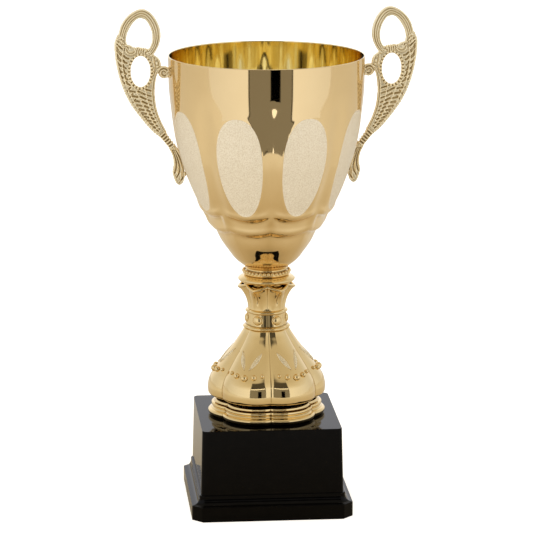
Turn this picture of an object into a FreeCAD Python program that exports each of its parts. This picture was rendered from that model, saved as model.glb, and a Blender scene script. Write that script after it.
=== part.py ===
"""Two-handled cup trophy: pressed cup, cast handles, lobed riser and weighted square plinth.

Millimetres. +Z up, the origin is the centre of the plinth's underside, the front faces -Y
and the handles point along +X and -X. Everything is clamped on one threaded rod.
"""
import FreeCAD, Part
import math
import os

import Sketcher

Vector = FreeCAD.Vector
Placement = FreeCAD.Placement
Rotation = FreeCAD.Rotation

SIZES = {
    # plinth
    "flange_half": 66.0, "flange_height": 12.4, "flange_cut": 8.5,
    "cavetto_half": 59.9, "cavetto_top": 19.0, "cavetto_round": 6.6, "step_top": 20.6,
    "block_foot_half": 58.5, "block_half": 57.2, "block_top": 74.2, "block_corner": 4.0,
    "shell_wall": 3.0, "shell_roof": 4.0, "cover_thick": 2.0, "cover_half": 61.0,
    # clamping rod and what is threaded on it
    "rod_radius": 3.0, "rod_hole": 3.3, "rod_low": 2.8, "rod_high": 209.5, "thread_gap": 0.05,
    "hex_low": 3.4, "hex_across": 10.0, "hex_height": 5.0,
    "spring_height": 1.6, "spring_radius": 5.2, "spring_gap_angle": 348.0,
    "washer_height": 1.4, "washer_radius": 12.0,
    "weight_half": 50.0, "weight_height": 12.0, "spacer_radius": 7.0,
    # riser
    "lobe_share": 0.4, "valley_share": 0.9,
    "foot_radius": 48.3, "foot_step": 80.0, "foot_ring_radius": 45.6, "foot_ring_top": 85.4,
    "foot_neck_radius": 41.0, "foot_wall": 3.0, "foot_roof": 2.5,
    "bell_low": 91.0, "bell_lip_radius": 46.4, "bell_belly_low": 93.6, "bell_belly_radius": 48.6,
    "bell_belly": 98.0, "bell_belly_top_radius": 48.9, "bell_shoulder": 106.2, "bell_shoulder_radius": 46.4,
    "bell_slope": 114.5, "bell_slope_radius": 41.6, "bell_waist": 126.8, "bell_waist_radius": 32.4,
    "bell_neck": 137.0, "bell_neck_radius": 24.6, "bell_top": 147.0, "bell_top_radius": 18.8,
    "bell_wall": 3.0,
    "band_radius": 17.0, "band_top_radius": 15.2, "band_top": 163.5, "band_ring_radius": 19.0,
    "band_ring_tube": 1.5, "band_high_ring_radius": 16.8, "band_high_ring_tube": 1.3,
    "stud_radius": 3.5, "stud_reach": 17.9, "stud_height": 154.4,
    "petal_foot_radius": 15.9, "petal_waist": 169.4, "petal_waist_radius": 17.0,
    "petal_mid": 176.2, "petal_mid_radius": 20.4, "petal_top": 182.9, "petal_tip_radius": 24.1,
    "petal_wall": 2.0, "crown_post_radius": 11.0, "crown_top": 185.6,
    # collar
    "collar_radius": 23.5, "collar_ring_top": 192.3, "bead_row_radius": 18.2, "bead_row_top": 196.4,
    "bead_radius": 1.5, "collar_top_radius": 16.8, "collar_top": 199.0,
    # cup
    "cup_foot_radius": 17.4, "cup_wall": 1.2, "swag_low": 232.6, "swag_low_radius": 44.0,
    "swag_high": 247.7, "swag_high_radius": 52.6, "cup_belly": 295.0, "cup_belly_radius": 72.0,
    "cup_shoulder": 330.0, "cup_shoulder_radius": 78.0, "mouth_height": 374.0, "mouth_radius": 80.0,
    "cone_bulge": 100.0, "swag_bulge": 30.0, "belly_bulge": 128.0, "shoulder_bulge": 220.0,
    "rim_bulge": 480.0,
    # inside the cup
    "cushion_radius": 13.0, "cushion_height": 1.6, "cup_washer_radius": 11.0, "cup_washer_height": 1.6,
    "acorn_hex_height": 5.0, "acorn_dome": 4.6, "acorn_cap_gap": 0.3,
    # handles
    "handle_thick": 8.0, "ring_long": 12.4, "ring_short": 7.7, "ring_middle": 102.2,
    "ring_height": 361.7,
    "screw_high": 360.6, "screw_low": 277.0, "screw_low_tilt": 18.8, "screw_radius": 1.5,
    "screw_length": 7.0, "head_radius": 2.9, "head_height": 2.0, "pad_radius": 3.8,
    "pad_height": 0.8, "screw_clear": 0.2, "seat_gap": 0.15, "hole_depth": 8.0, "screw_tip_gap": 1.0,
    # how far a cutting tool runs past the face that it opens
    "overshoot": 1.0,
}

doc = FreeCAD.newDocument("cup_trophy")
sheet = doc.addObject("Spreadsheet::Sheet", "sizes")
for row, (alias, number) in enumerate(SIZES.items(), start=1):
    sheet.set(f"A{row}", alias)
    sheet.set(f"B{row}", str(number))
    sheet.setAlias(f"B{row}", alias)
doc.recompute()


class Size:
    """A length that knows its value now and the spreadsheet expression that it comes from."""

    def __init__(self, value, text):
        self.value = value
        self.text = text

    def _join(self, sign, other, value):
        return Size(value, f"({self.text} {sign} {as_size(other).text})")

    def __add__(self, other):
        return self._join("+", other, self.value + as_size(other).value)

    def __sub__(self, other):
        return self._join("-", other, self.value - as_size(other).value)

    def __mul__(self, other):
        return self._join("*", other, self.value * as_size(other).value)

    def __truediv__(self, other):
        return self._join("/", other, self.value / as_size(other).value)

    def __neg__(self):
        return self * -1


def as_size(number):
    """A plain number as a Size; a Size is passed on."""
    return number if isinstance(number, Size) else Size(float(number), f"{float(number):.6f}")


def size(alias):
    """The Size of one spreadsheet cell."""
    return Size(float(sheet.get(alias)), f"sizes.{alias}")


def new_body(label):
    """An empty body whose label is the node's name."""
    body = doc.addObject("PartDesign::Body", label)
    body.Label = label
    return body


def origin_part(body, role):
    """One of the body's own origin planes or axes."""
    return next(part for part in body.Origin.OriginFeatures if part.Role == role)


def new_sketch(body, name, role="XZ_Plane", lift=None):
    """A sketch on one of the body's origin planes, lifted along the plane's normal."""
    sketch = body.newObject("Sketcher::SketchObject", name)
    sketch.AttachmentSupport = (origin_part(body, role), [""])
    sketch.MapMode = "FlatFace"
    if lift is not None:
        sketch.AttachmentOffset = Placement(Vector(0, 0, lift.value), Rotation())
        sketch.setExpression(".AttachmentOffset.Base.z", lift.text)
    return sketch


def bind(sketch, kind, *where, length):
    """Adds one driving constraint and ties it to the spreadsheet."""
    index = sketch.addConstraint(Sketcher.Constraint(kind, *where, length.value))
    sketch.setExpression(f"Constraints[{index}]", length.text)


def arc_through(start, end, radius, left):
    """Centre of the arc from start to end; left tells on which side of the chord it lies."""
    chord = end - start
    rise = math.sqrt(radius ** 2 - (chord.Length / 2) ** 2)
    side = Vector(-chord.y, chord.x, 0).normalize() * (1 if left else -1)
    return (start + end) / 2 + side * rise


def outline(sketch, points):
    """A closed outline. Each point is (x, y) or (x, y, radius, "left" or "right"), where the radius
    is that of the arc to the next point and the word is the side that the arc's centre is on."""
    spots = [Vector(as_size(point[0]).value, as_size(point[1]).value, 0) for point in points]
    starts, ends = [], []
    for number, point in enumerate(points):
        start = spots[number]
        end = spots[(number + 1) % len(points)]
        if len(point) == 2:
            edge = sketch.addGeometry(Part.LineSegment(start, end))
            order = (1, 2)
        else:
            radius = as_size(point[2])
            left = point[3] == "left"
            middle = arc_through(start, end, radius.value, left)
            first, last = (start, end) if left else (end, start)
            angles = [math.atan2(spot.y - middle.y, spot.x - middle.x) for spot in (first, last)]
            circle = Part.Circle(middle, Vector(0, 0, 1), radius.value)
            edge = sketch.addGeometry(Part.ArcOfCircle(circle, *angles))
            order = (1, 2) if left else (2, 1)
            bind(sketch, "Radius", edge, length=radius)
        starts.append((edge, order[0]))
        ends.append((edge, order[1]))
    for number, point in enumerate(points):
        following = starts[(number + 1) % len(points)]
        sketch.addConstraint(Sketcher.Constraint("Coincident", *ends[number], *following))
        bind(sketch, "DistanceX", -1, 1, *starts[number], length=as_size(point[0]))
        bind(sketch, "DistanceY", -1, 1, *starts[number], length=as_size(point[1]))
    return sketch


def circle(sketch, radius, x=0, y=0):
    """A circle with its centre at x, y."""
    x, y, radius = as_size(x), as_size(y), as_size(radius)
    shape = Part.Circle(Vector(x.value, y.value, 0), Vector(0, 0, 1), radius.value)
    edge = sketch.addGeometry(shape)
    bind(sketch, "Radius", edge, length=radius)
    bind(sketch, "DistanceX", -1, 1, edge, 3, length=x)
    bind(sketch, "DistanceY", -1, 1, edge, 3, length=y)
    return sketch


def rectangle(sketch, half_wide, half_deep):
    """A rectangle centred on the sketch's origin."""
    return outline(sketch, [(-half_wide, -half_deep), (half_wide, -half_deep),
                            (half_wide, half_deep), (-half_wide, half_deep)])


LOBES = 6
BEADS = 36
FULL_BEAD = 1.04  # radius of a bead moulding over half its height, so its arc is just under half round


def lobed(sketch, radius):
    """A closed line of six equal round lobes that reach out to radius, with sharp valleys between."""
    share = size("lobe_share")
    reach = radius * share
    swell = radius - reach
    half = math.radians(180 / LOBES)
    valley = reach.value * math.cos(half) + math.sqrt(swell.value ** 2 - (reach.value * math.sin(half)) ** 2)
    spread = math.atan2(valley * math.sin(half), valley * math.cos(half) - reach.value)
    for lobe in range(LOBES):
        turn = 2 * half * lobe
        middle = Vector(math.cos(turn), math.sin(turn), 0) * reach.value
        ring = Part.Circle(middle, Vector(0, 0, 1), swell.value)
        edge = sketch.addGeometry(Part.ArcOfCircle(ring, turn - spread, turn + spread))
        bind(sketch, "DistanceX", -1, 1, edge, 3, length=reach * math.cos(turn))
        bind(sketch, "DistanceY", -1, 1, edge, 3, length=reach * math.sin(turn))
    for lobe in range(LOBES):
        sketch.addConstraint(Sketcher.Constraint("Coincident", lobe, 2, (lobe + 1) % LOBES, 1))
        if lobe:
            sketch.addConstraint(Sketcher.Constraint("Equal", 0, lobe))
    bind(sketch, "Radius", 0, length=swell)
    return sketch


def pad(body, sketch, length, both_ways=False):
    """Grows the sketch along its normal."""
    feature = body.newObject("PartDesign::Pad", sketch.Name + "_pad")
    feature.Profile = sketch
    feature.setExpression("Length", as_size(length).text)
    if both_ways:
        feature.SideType = "Symmetric"
    return feature


def cut(body, sketch, length, both_ways=False, along_normal=False):
    """Cuts the sketch out against its normal, along it, or both ways."""
    feature = body.newObject("PartDesign::Pocket", sketch.Name + "_cut")
    feature.Profile = sketch
    feature.setExpression("Length", as_size(length).text)
    feature.Reversed = along_normal
    if both_ways:
        feature.SideType = "Symmetric"
    return feature


def turned(body, sketch, groove=False, angle=360):
    """Turns the sketch about its own vertical axis, adding or cutting."""
    kind = "PartDesign::Groove" if groove else "PartDesign::Revolution"
    feature = body.newObject(kind, sketch.Name + "_turn")
    feature.Profile = sketch
    feature.ReferenceAxis = (sketch, ["V_Axis"])
    feature.Angle = angle
    return feature


def around(body, feature, count):
    """Repeats a feature about the vertical axis."""
    pattern = body.newObject("PartDesign::PolarPattern", feature.Name + "_ring")
    pattern.Originals = [feature]
    pattern.Axis = (origin_part(body, "Z_Axis"), [""])
    pattern.Angle = 360
    pattern.Occurrences = count
    body.Tip = pattern
    return pattern


def ring_points(inner, outer, low, high):
    """The half section of a plain ring."""
    return [(inner, low), (outer, low), (outer, high), (inner, high)]


def turned_ring(label, inner, outer, low, high, angle=360):
    """A plain ring, washer or tube about the rod."""
    body = new_body(label)
    turned(body, outline(new_sketch(body, label + "_section"), ring_points(inner, outer, low, high)),
           angle=angle)
    return body


def rod_bore(body, name, high):
    """The rod's clearance hole, from the underside of the whole object up to high."""
    section = new_sketch(body, name)
    turned(body, outline(section, ring_points(as_size(0), size("rod_hole"), as_size(0), high)), groove=True)


# ---------------------------------------------------------------- plinth

def side_waste(sketch):
    """What is cut away beside the slab to leave the plinth's moulded outline, from the flange up."""
    out = size("flange_half") + size("flange_height")
    outline(sketch, [(size("flange_half"), size("flange_height"), size("cavetto_round"), "right"),
                     (size("cavetto_half"), size("cavetto_top")),
                     (size("cavetto_half"), size("step_top")),
                     (size("block_foot_half"), size("step_top")),
                     (size("block_half"), size("block_top")),
                     (out, size("block_top")),
                     (out, size("flange_height"))])


UPRIGHT = 4  # an edge stands upright if it rises this many times what it leans
CORNER_REACH = 1.0  # millimetres within which an edge belongs to a corner


def vertical_edges(feature, distance_out):
    """Names of the feature's edges that stand more or less upright at the plinth's corners."""
    names = []
    for number, edge in enumerate(feature.Shape.Edges, start=1):
        low, high = sorted((vertex.Point for vertex in edge.Vertexes), key=lambda spot: spot.z)
        rise = high.z - low.z
        lean = math.hypot(high.x - low.x, high.y - low.y)
        corner = min(abs(low.x), abs(low.y))
        if rise > UPRIGHT * lean and abs(corner - distance_out) < CORNER_REACH:
            names.append(f"Edge{number}")
    return names


def dress_corners(body, kind, name, distance_out, setting, alias):
    """Rounds or bevels the four upright corner edges that stand at a distance from the middle."""
    doc.recompute()
    solid = body.Tip
    edges = vertical_edges(solid, SIZES[distance_out])
    feature = body.newObject(kind, name)
    feature.Base = (solid, edges)
    feature.setExpression(setting, f"sizes.{alias}")


def base_shell():
    """The hollow plinth: moulded outside, straight-walled inside, open below."""
    body = new_body("base_shell")
    slab = new_sketch(body, "plinth_plan", "XY_Plane")
    rectangle(slab, size("flange_half"), size("flange_half"))
    pad(body, slab, size("block_top"))
    for role, name in (("XZ_Plane", "side_x"), ("YZ_Plane", "side_y")):
        sketch = new_sketch(body, name, role)
        side_waste(sketch)
        feature = cut(body, sketch, size("flange_half") * 4, both_ways=True)
        around(body, feature, 2)
    dress_corners(body, "PartDesign::Fillet", "block_corners", "block_foot_half", "Radius", "block_corner")
    dress_corners(body, "PartDesign::Chamfer", "flange_corners", "flange_half", "Size", "flange_cut")
    hollow = new_sketch(body, "plinth_hollow", "XY_Plane")
    inside = size("block_half") - size("shell_wall")
    rectangle(hollow, inside, inside)
    cut(body, hollow, size("block_top") - size("shell_roof"), along_normal=True)
    rebate = new_sketch(body, "cover_rebate", "XY_Plane")
    rectangle(rebate, size("cover_half"), size("cover_half"))
    cut(body, rebate, size("cover_thick"), along_normal=True)
    rod_bore(body, "plinth_rod_hole", size("block_top") + size("overshoot"))
    return body


def base_cover():
    """The board that closes the plinth, flush with its underside."""
    body = new_body("base_cover")
    plan = new_sketch(body, "cover_plan", "XY_Plane")
    rectangle(plan, size("cover_half"), size("cover_half"))
    pad(body, plan, size("cover_thick"))
    return body


# ---------------------------------------------------------------- rod, weight and fasteners

def hexagon(sketch, across):
    """A regular hexagon, across its flats."""
    corner = across / math.sqrt(3)
    outline(sketch, [(corner * math.cos(math.radians(60 * turn)), corner * math.sin(math.radians(60 * turn)))
                     for turn in range(6)])


def tie_rod():
    """The threaded rod, at its major diameter."""
    return turned_ring("tie_rod", as_size(0), size("rod_radius"), size("rod_low"), size("rod_high"))


def hex_nut():
    """The nut on the rod's lower end."""
    body = new_body("hex_nut")
    plan = new_sketch(body, "nut_plan", "XY_Plane", size("hex_low"))
    hexagon(plan, size("hex_across"))
    pad(body, plan, size("hex_height"))
    thread = new_sketch(body, "nut_thread")
    bore = size("rod_radius") + size("thread_gap")
    turned(body, outline(thread, ring_points(as_size(0), bore, as_size(0), size("block_top"))), groove=True)
    return body


def lower_stack():
    """Split spring washer, plain washer, weight and spacer tube, stacked up from the nut."""
    rod = size("rod_hole")
    spring_low = size("hex_low") + size("hex_height")
    washer_low = spring_low + size("spring_height")
    weight_low = washer_low + size("washer_height")
    spacer_low = weight_low + size("weight_height")
    roof = size("block_top") - size("shell_roof")
    spring = turned_ring("spring_washer", rod, size("spring_radius"), spring_low, washer_low,
                         angle=SIZES["spring_gap_angle"])
    washer = turned_ring("plain_washer", rod, size("washer_radius"), washer_low, weight_low)
    weight = new_body("base_weight")
    plan = new_sketch(weight, "weight_plan", "XY_Plane", weight_low)
    rectangle(plan, size("weight_half"), size("weight_half"))
    pad(weight, plan, size("weight_height"))
    rod_bore(weight, "weight_rod_hole", spacer_low + size("overshoot"))
    spacer = turned_ring("spacer_tube", rod, size("spacer_radius"), spacer_low, roof)
    return [spring, washer, weight, spacer]


def cup_stack():
    """Cushion washer, steel washer and acorn nut on the cup's floor."""
    floor = size("collar_top") + size("cup_wall")
    washer_low = floor + size("cushion_height")
    nut_low = washer_low + size("cup_washer_height")
    cushion = turned_ring("cushion_washer", size("rod_hole"), size("cushion_radius"), floor, washer_low)
    washer = turned_ring("cup_washer", size("rod_hole"), size("cup_washer_radius"), washer_low, nut_low)
    nut = new_body("acorn_nut")
    plan = new_sketch(nut, "acorn_plan", "XY_Plane", nut_low)
    hexagon(plan, size("hex_across"))
    pad(nut, plan, size("acorn_hex_height"))
    dome_low = nut_low + size("acorn_hex_height")
    dome = size("acorn_dome")
    section = outline(new_sketch(nut, "acorn_dome_section"),
                      [(as_size(0), dome_low), (dome, dome_low, dome, "left"), (as_size(0), dome_low + dome)])
    turned(nut, section)
    bore = size("rod_radius") + size("thread_gap")
    thread = outline(new_sketch(nut, "acorn_thread"),
                     ring_points(as_size(0), bore, as_size(0), size("rod_high") + size("acorn_cap_gap")))
    turned(nut, thread, groove=True)
    return [cushion, washer, nut]


# ---------------------------------------------------------------- riser

def foot():
    """Two lobed rings and a plain neck, hollow from below."""
    body = new_body("foot")
    steps = (("foot_low", "block_top", "foot_radius", "foot_step"),
             ("foot_ring", "foot_step", "foot_ring_radius", "foot_ring_top"))
    for name, low, radius, high in steps:
        pad(body, lobed(new_sketch(body, name, "XY_Plane", size(low)), size(radius)), size(high) - size(low))
    neck = circle(new_sketch(body, "foot_neck", "XY_Plane", size("foot_ring_top")), size("foot_neck_radius"))
    pad(body, neck, size("bell_low") - size("foot_ring_top"))
    inside = size("foot_neck_radius") - size("foot_wall")
    hollow = outline(new_sketch(body, "foot_hollow"),
                     ring_points(as_size(0), inside, size("block_top"), size("bell_low") - size("foot_roof")))
    turned(body, hollow, groove=True)
    rod_bore(body, "foot_rod_hole", size("bell_low") + size("overshoot"))
    return body


def loft(body, name, stations):
    """A lobed solid through (height, radius) stations."""
    sections = [lobed(new_sketch(body, f"{name}_{number}", "XY_Plane", height), radius)
                for number, (height, radius) in enumerate(stations)]
    feature = body.newObject("PartDesign::AdditiveLoft", name)
    feature.Profile = sections[0]
    feature.Sections = sections[1:]
    return feature


def bell():
    """The six-lobed bell: a shell with a floor ring that rests on the foot's neck."""
    body = new_body("bell")
    loft(body, "bell_skin", [(size(height), size(radius)) for height, radius in (
        ("bell_low", "bell_lip_radius"), ("bell_belly_low", "bell_belly_radius"),
        ("bell_belly", "bell_belly_top_radius"), ("bell_shoulder", "bell_shoulder_radius"),
        ("bell_slope", "bell_slope_radius"), ("bell_waist", "bell_waist_radius"),
        ("bell_neck", "bell_neck_radius"), ("bell_top", "bell_top_radius"))])
    wall = size("bell_wall")
    floor = size("bell_low") + wall
    valley = size("valley_share")
    inside = [(as_size(0), floor), (size("bell_lip_radius") * valley - wall, floor),
              (size("bell_shoulder_radius") * valley - wall, size("bell_shoulder")),
              (size("bell_slope_radius") * valley - wall, size("bell_slope")),
              (size("bell_waist_radius") * valley - wall, size("bell_waist")),
              (size("bell_neck_radius") * valley - wall, size("bell_neck")),
              (size("bell_top_radius") * valley - wall, size("bell_top") - wall),
              (as_size(0), size("bell_top") - wall)]
    turned(body, outline(new_sketch(body, "bell_hollow"), inside), groove=True)
    rod_bore(body, "bell_rod_hole", size("bell_top") + size("overshoot"))
    return body


def waist_band():
    """The band between bell and crown, with a ring at each end and six round studs."""
    body = new_body("waist_band")
    low, high = size("bell_top"), size("band_top")
    foot_tube, head_tube = size("band_ring_tube"), size("band_high_ring_tube")
    section = outline(new_sketch(body, "band_section"), [
        (size("rod_hole"), low), (size("band_ring_radius") - foot_tube, low, foot_tube * FULL_BEAD, "left"),
        (size("band_ring_radius") - foot_tube, low + foot_tube * 2),
        (size("band_radius"), low + foot_tube * 2),
        (size("band_top_radius"), high - head_tube * 2),
        (size("band_high_ring_radius") - head_tube, high - head_tube * 2, head_tube * FULL_BEAD, "left"),
        (size("band_high_ring_radius") - head_tube, high), (size("rod_hole"), high)])
    turned(body, section)
    stud = body.newObject("PartDesign::AdditiveSphere", "stud")
    stud.setExpression("Radius", "sizes.stud_radius")
    stud.setExpression(".Placement.Base.x", "sizes.stud_reach - sizes.stud_radius")
    stud.setExpression(".Placement.Base.z", "sizes.stud_height")
    around(body, stud, LOBES)
    return body


def crown():
    """Six flared petals round a post that carries the collar."""
    body = new_body("crown")
    loft(body, "petals", [(size(height), size(radius)) for height, radius in (
        ("band_top", "petal_foot_radius"), ("petal_waist", "petal_waist_radius"),
        ("petal_mid", "petal_mid_radius"), ("petal_top", "petal_tip_radius"))])
    wall = size("petal_wall")
    valley = size("valley_share")
    post = size("crown_post_radius")
    hollow = [(post, size("petal_waist") + wall),
              (size("petal_waist_radius") * valley - wall, size("petal_waist") + wall),
              (size("petal_mid_radius") * valley - wall, size("petal_mid")),
              (size("petal_tip_radius") * valley - wall, size("petal_top") + size("overshoot")),
              (post, size("petal_top") + size("overshoot"))]
    turned(body, outline(new_sketch(body, "petal_hollow"), hollow), groove=True)
    top = circle(new_sketch(body, "post_plan", "XY_Plane", size("petal_waist")), post)
    pad(body, top, size("crown_top") - size("petal_waist"))
    rod_bore(body, "crown_rod_hole", size("crown_top") + size("overshoot"))
    return body


def collar():
    """The turned ring stack under the cup, with a row of beads."""
    body = new_body("collar")
    low, ring_top = size("crown_top"), size("collar_ring_top")
    tube = (ring_top - low) / 2
    beads_top, top = size("bead_row_top"), size("collar_top")
    head = (top - beads_top) / 2
    section = outline(new_sketch(body, "collar_section"), [
        (size("rod_hole"), low), (size("collar_radius") - tube, low, tube * FULL_BEAD, "left"),
        (size("collar_radius") - tube, ring_top), (size("bead_row_radius"), ring_top),
        (size("bead_row_radius"), beads_top),
        (size("collar_top_radius") - head, beads_top, head * FULL_BEAD, "left"),
        (size("collar_top_radius") - head, top), (size("rod_hole"), top)])
    turned(body, section)
    bead = body.newObject("PartDesign::AdditiveSphere", "bead")
    bead.setExpression("Radius", "sizes.bead_radius")
    bead.setExpression(".Placement.Base.x", "sizes.bead_row_radius")
    bead.setExpression(".Placement.Base.z", "(sizes.collar_ring_top + sizes.bead_row_top) / 2")
    around(body, bead, BEADS)
    return body


# ---------------------------------------------------------------- cup

def cup_side(inset):
    """Half outline of the cup's side from its foot to the mouth, inset by the metal."""
    return [(size("cup_foot_radius") - inset, size("collar_top") + inset, size("cone_bulge"), "left"),
            (size("swag_low_radius") - inset, size("swag_low"), size("swag_bulge"), "left"),
            (size("swag_high_radius") - inset, size("swag_high"), size("belly_bulge"), "left"),
            (size("cup_belly_radius") - inset, size("cup_belly"), size("shoulder_bulge"), "left"),
            (size("cup_shoulder_radius") - inset, size("cup_shoulder"), size("rim_bulge"), "left"),
            (size("mouth_radius") - inset, size("mouth_height"))]


def reversed_side(points):
    """The same side from top to bottom, with its arcs turned round."""
    result = [points[-1]]
    for point in reversed(points[:-1]):
        result[-1] = result[-1][:2] + (point[2], "right")
        result.append(point)
    result[-1] = result[-1][:2]
    return result


def bowl():
    """The open cup, pressed from sheet."""
    body = new_body("bowl")
    none = as_size(0)
    outside = [(size("rod_hole"), size("collar_top"))] + cup_side(none)
    inside = reversed_side(cup_side(size("cup_wall")))
    inside.append((size("rod_hole"), size("collar_top") + size("cup_wall")))
    turned(body, outline(new_sketch(body, "cup_section"), outside + inside))
    for x_sign in (-1, 1):
        for name, place in screw_places(x_sign).items():
            drill(body, f"hole_{name}_{x_sign + 1}", place, "sizes.screw_radius + sizes.screw_clear",
                  -SIZES["hole_depth"] / 2, "sizes.hole_depth")
    return body


def drill(body, name, place, radius, start, depth):
    """A round hole along a place's own axis, from start onwards."""
    hole = body.newObject("PartDesign::SubtractiveCylinder", name)
    hole.setExpression("Radius", radius)
    hole.setExpression("Height", depth)
    hole.Placement = place.multiply(Placement(Vector(0, 0, start), Rotation()))


# ---------------------------------------------------------------- handles

def wall_radius(height):
    """Outer radius of the cup's side at a height, from its arcs."""
    side = cup_side(as_size(0))
    for lower, upper in zip(side, side[1:]):
        if lower[1].value <= height <= upper[1].value:
            start = Vector(lower[0].value, lower[1].value, 0)
            end = Vector(upper[0].value, upper[1].value, 0)
            middle = arc_through(start, end, lower[2].value, True)
            return middle.x + math.sqrt(lower[2].value ** 2 - (height - middle.y) ** 2)
    return SIZES["mouth_radius"]


def screw_places(x_sign):
    """Where each handle screw crosses the cup's outer face; local +Z points out of the cup."""
    places = {}
    for name, tilt in (("high", 0.0), ("low", SIZES["screw_low_tilt"])):
        height = SIZES[f"screw_{name}"]
        base = Vector(x_sign * wall_radius(height), 0, height)
        turn = Rotation(Vector(0, 1, 0), x_sign * (90 + tilt))
        places[name] = Placement(base, turn)
    return places


def handle_points():
    """Outline of the left handle: scroll, leaf, top loop, outer edge, knuckles, tail and inner edge."""
    return [(-79.0, 364.8, 5.5, "left"), (-88.2, 363.0), (-86.0, 368.2, 4.6, "left"),
            (-91.8, 374.6, 20.0, "left"), (-86.0, 391.0, 26.0, "left"), (-92.6, 408.6, 9.2, "left"),
            (-107.0, 410.2, 26.0, "left"), (-119.8, 391.0), (-123.7, 384.0, 80.0, "left"),
            (-115.5, 346.5, 74.0, "left"), (-94.0, 314.4), (-86.9, 307.4, 5.6, "left"),
            (-80.8, 298.8), (-75.4, 290.0), (-76.9, 278.8, 6.8, "left"),
            (-71.2, 267.4), (-60.0, 267.4), (-60.0, 284.0), (-70.0, 289.4), (-75.2, 301.4, 7.0, "left"),
            (-82.2, 311.8, 60.0, "right"), (-90.8, 343.0, 40.0, "right"), (-88.6, 356.2),
            (-84.0, 355.6), (-79.0, 357.0), (-70.0, 357.0), (-70.0, 364.8)]


def loop_hole_points():
    """The open top loop, with its scalloped lower edge."""
    return [(-95.4, 383.6, 14.0, "left"), (-95.6, 399.6, 7.8, "left"), (-109.8, 400.6, 34.0, "left"),
            (-114.6, 385.4), (-110.2, 382.4), (-106.4, 379.8), (-101.9, 382.4)]


def ring_opening(body, sketch, x_sign):
    """The oval opening inside the beaded ring."""
    middle = Vector(x_sign * SIZES["ring_middle"], SIZES["ring_height"], 0)
    top = middle + Vector(0, SIZES["ring_long"], 0)
    side = middle + Vector(SIZES["ring_short"], 0, 0)
    oval = sketch.addGeometry(Part.Ellipse(top, side, middle))
    sketch.exposeInternalGeometry(oval)
    long_axis, short_axis = oval + 1, oval + 2
    sketch.addConstraint(Sketcher.Constraint("Vertical", long_axis))
    bind(sketch, "Distance", long_axis, length=size("ring_long") * 2)
    bind(sketch, "Distance", short_axis, length=size("ring_short") * 2)
    bind(sketch, "DistanceX", -1, 1, oval, 3, length=size("ring_middle") * x_sign)
    bind(sketch, "DistanceY", -1, 1, oval, 3, length=size("ring_height"))
    return cut(body, sketch, size("handle_thick") * 2, both_ways=True)


def mirrored(points, x_sign):
    """The left handle's outline, or its mirror image for the right one."""
    if x_sign < 0:
        return points
    flip = {"left": "right", "right": "left"}
    return [(-point[0],) + point[1:3] + tuple(flip[word] for word in point[3:]) for point in points]


def handle(label, x_sign):
    """One flat cast handle, cut to sit on the cup, with two tapped holes."""
    body = new_body(label)
    plate = outline(new_sketch(body, label + "_outline"), mirrored(handle_points(), x_sign))
    pad(body, plate, size("handle_thick"), both_ways=True)
    loop = outline(new_sketch(body, label + "_loop"), mirrored(loop_hole_points(), x_sign))
    cut(body, loop, size("handle_thick") * 2, both_ways=True)
    ring_opening(body, new_sketch(body, label + "_ring"), x_sign)
    side = cup_side(as_size(0))
    envelope = [(as_size(0), side[0][1])] + side + [(as_size(0), side[-1][1])]
    turned(body, outline(new_sketch(body, label + "_seat"), envelope), groove=True)
    for name, place in screw_places(x_sign).items():
        drill(body, f"{label}_tap_{name}", place, "sizes.screw_radius + sizes.thread_gap",
              -SIZES["overshoot"], "sizes.screw_length + sizes.overshoot")
    return body


def at_every_screw(label, make_shape):
    """The same small piece at each of the four handle screws, as one node of separate solids."""
    group = doc.addObject("Part::Feature", label)
    places = [place for x_sign in (-1, 1) for place in screw_places(x_sign).values()]
    group.Shape = Part.makeCompound([make_shape().transformGeometry(place.toMatrix()) for place in places])
    group.Label = label
    return group


def washer_seat():
    """Where the screw heads' washers begin, measured inwards from the cup's outer face."""
    return size("cup_wall").value + size("pad_height").value + size("seat_gap").value


def handle_washers():
    """Fibre washers between the screw heads and the cup's inner face."""
    low = Vector(0, 0, -washer_seat())
    height = size("pad_height").value
    hole = size("screw_radius").value + size("thread_gap").value

    def washer():
        disc = Part.makeCylinder(size("pad_radius").value, height, low)
        return disc.cut(Part.makeCylinder(hole, height, low))

    return at_every_screw("handle_washers", washer)


def handle_screws():
    """Pan-head screws from inside the cup into the handles."""
    seat = -washer_seat()
    head_height = size("head_height").value
    length = size("screw_length").value - size("screw_tip_gap").value - seat

    def screw():
        shank = Part.makeCylinder(size("screw_radius").value, length, Vector(0, 0, seat))
        head = Part.makeCylinder(size("head_radius").value, head_height, Vector(0, 0, seat - head_height))
        rim = [edge for edge in head.Edges if edge.BoundBox.ZMax < seat - head_height / 2]
        return shank.fuse(head.makeFillet(head_height / 2, rim))

    return at_every_screw("handle_screws", screw)


# ---------------------------------------------------------------- the whole object

def check(nodes):
    """Stops if any feature failed or any piece is empty or broken."""
    for item in doc.Objects:
        if {"Invalid", "Error"} & set(item.State):
            raise RuntimeError(f"{item.Name}: {item.State}")
    for node in nodes:
        if node.Shape.isNull() or not node.Shape.isValid() or not node.Shape.Solids:
            raise RuntimeError(f"{node.Label}: bad shape")
        print(f"{node.Label:16s} {len(node.Shape.Solids)} solids {node.Shape.Volume:11.1f} mm3")


nodes = [base_shell(), base_cover(), tie_rod(), hex_nut(), *lower_stack(), *cup_stack(), foot(), bell(),
         waist_band(), crown(), collar(), bowl(), handle("handle_left", -1), handle("handle_right", 1),
         handle_washers(), handle_screws()]
doc.recompute()
check(nodes)
os.makedirs("parts", exist_ok=True)
for node in nodes:
    node.Shape.exportStep(f"parts/{node.Label}.step")
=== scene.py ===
"""Looks of the two-handled cup trophy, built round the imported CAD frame.

Shapes are worked out in millimetres and turned into metres when a mesh is made. Turns are
degrees from +X about the upright axis. The front of the cup faces -Y.
"""
import math

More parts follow.
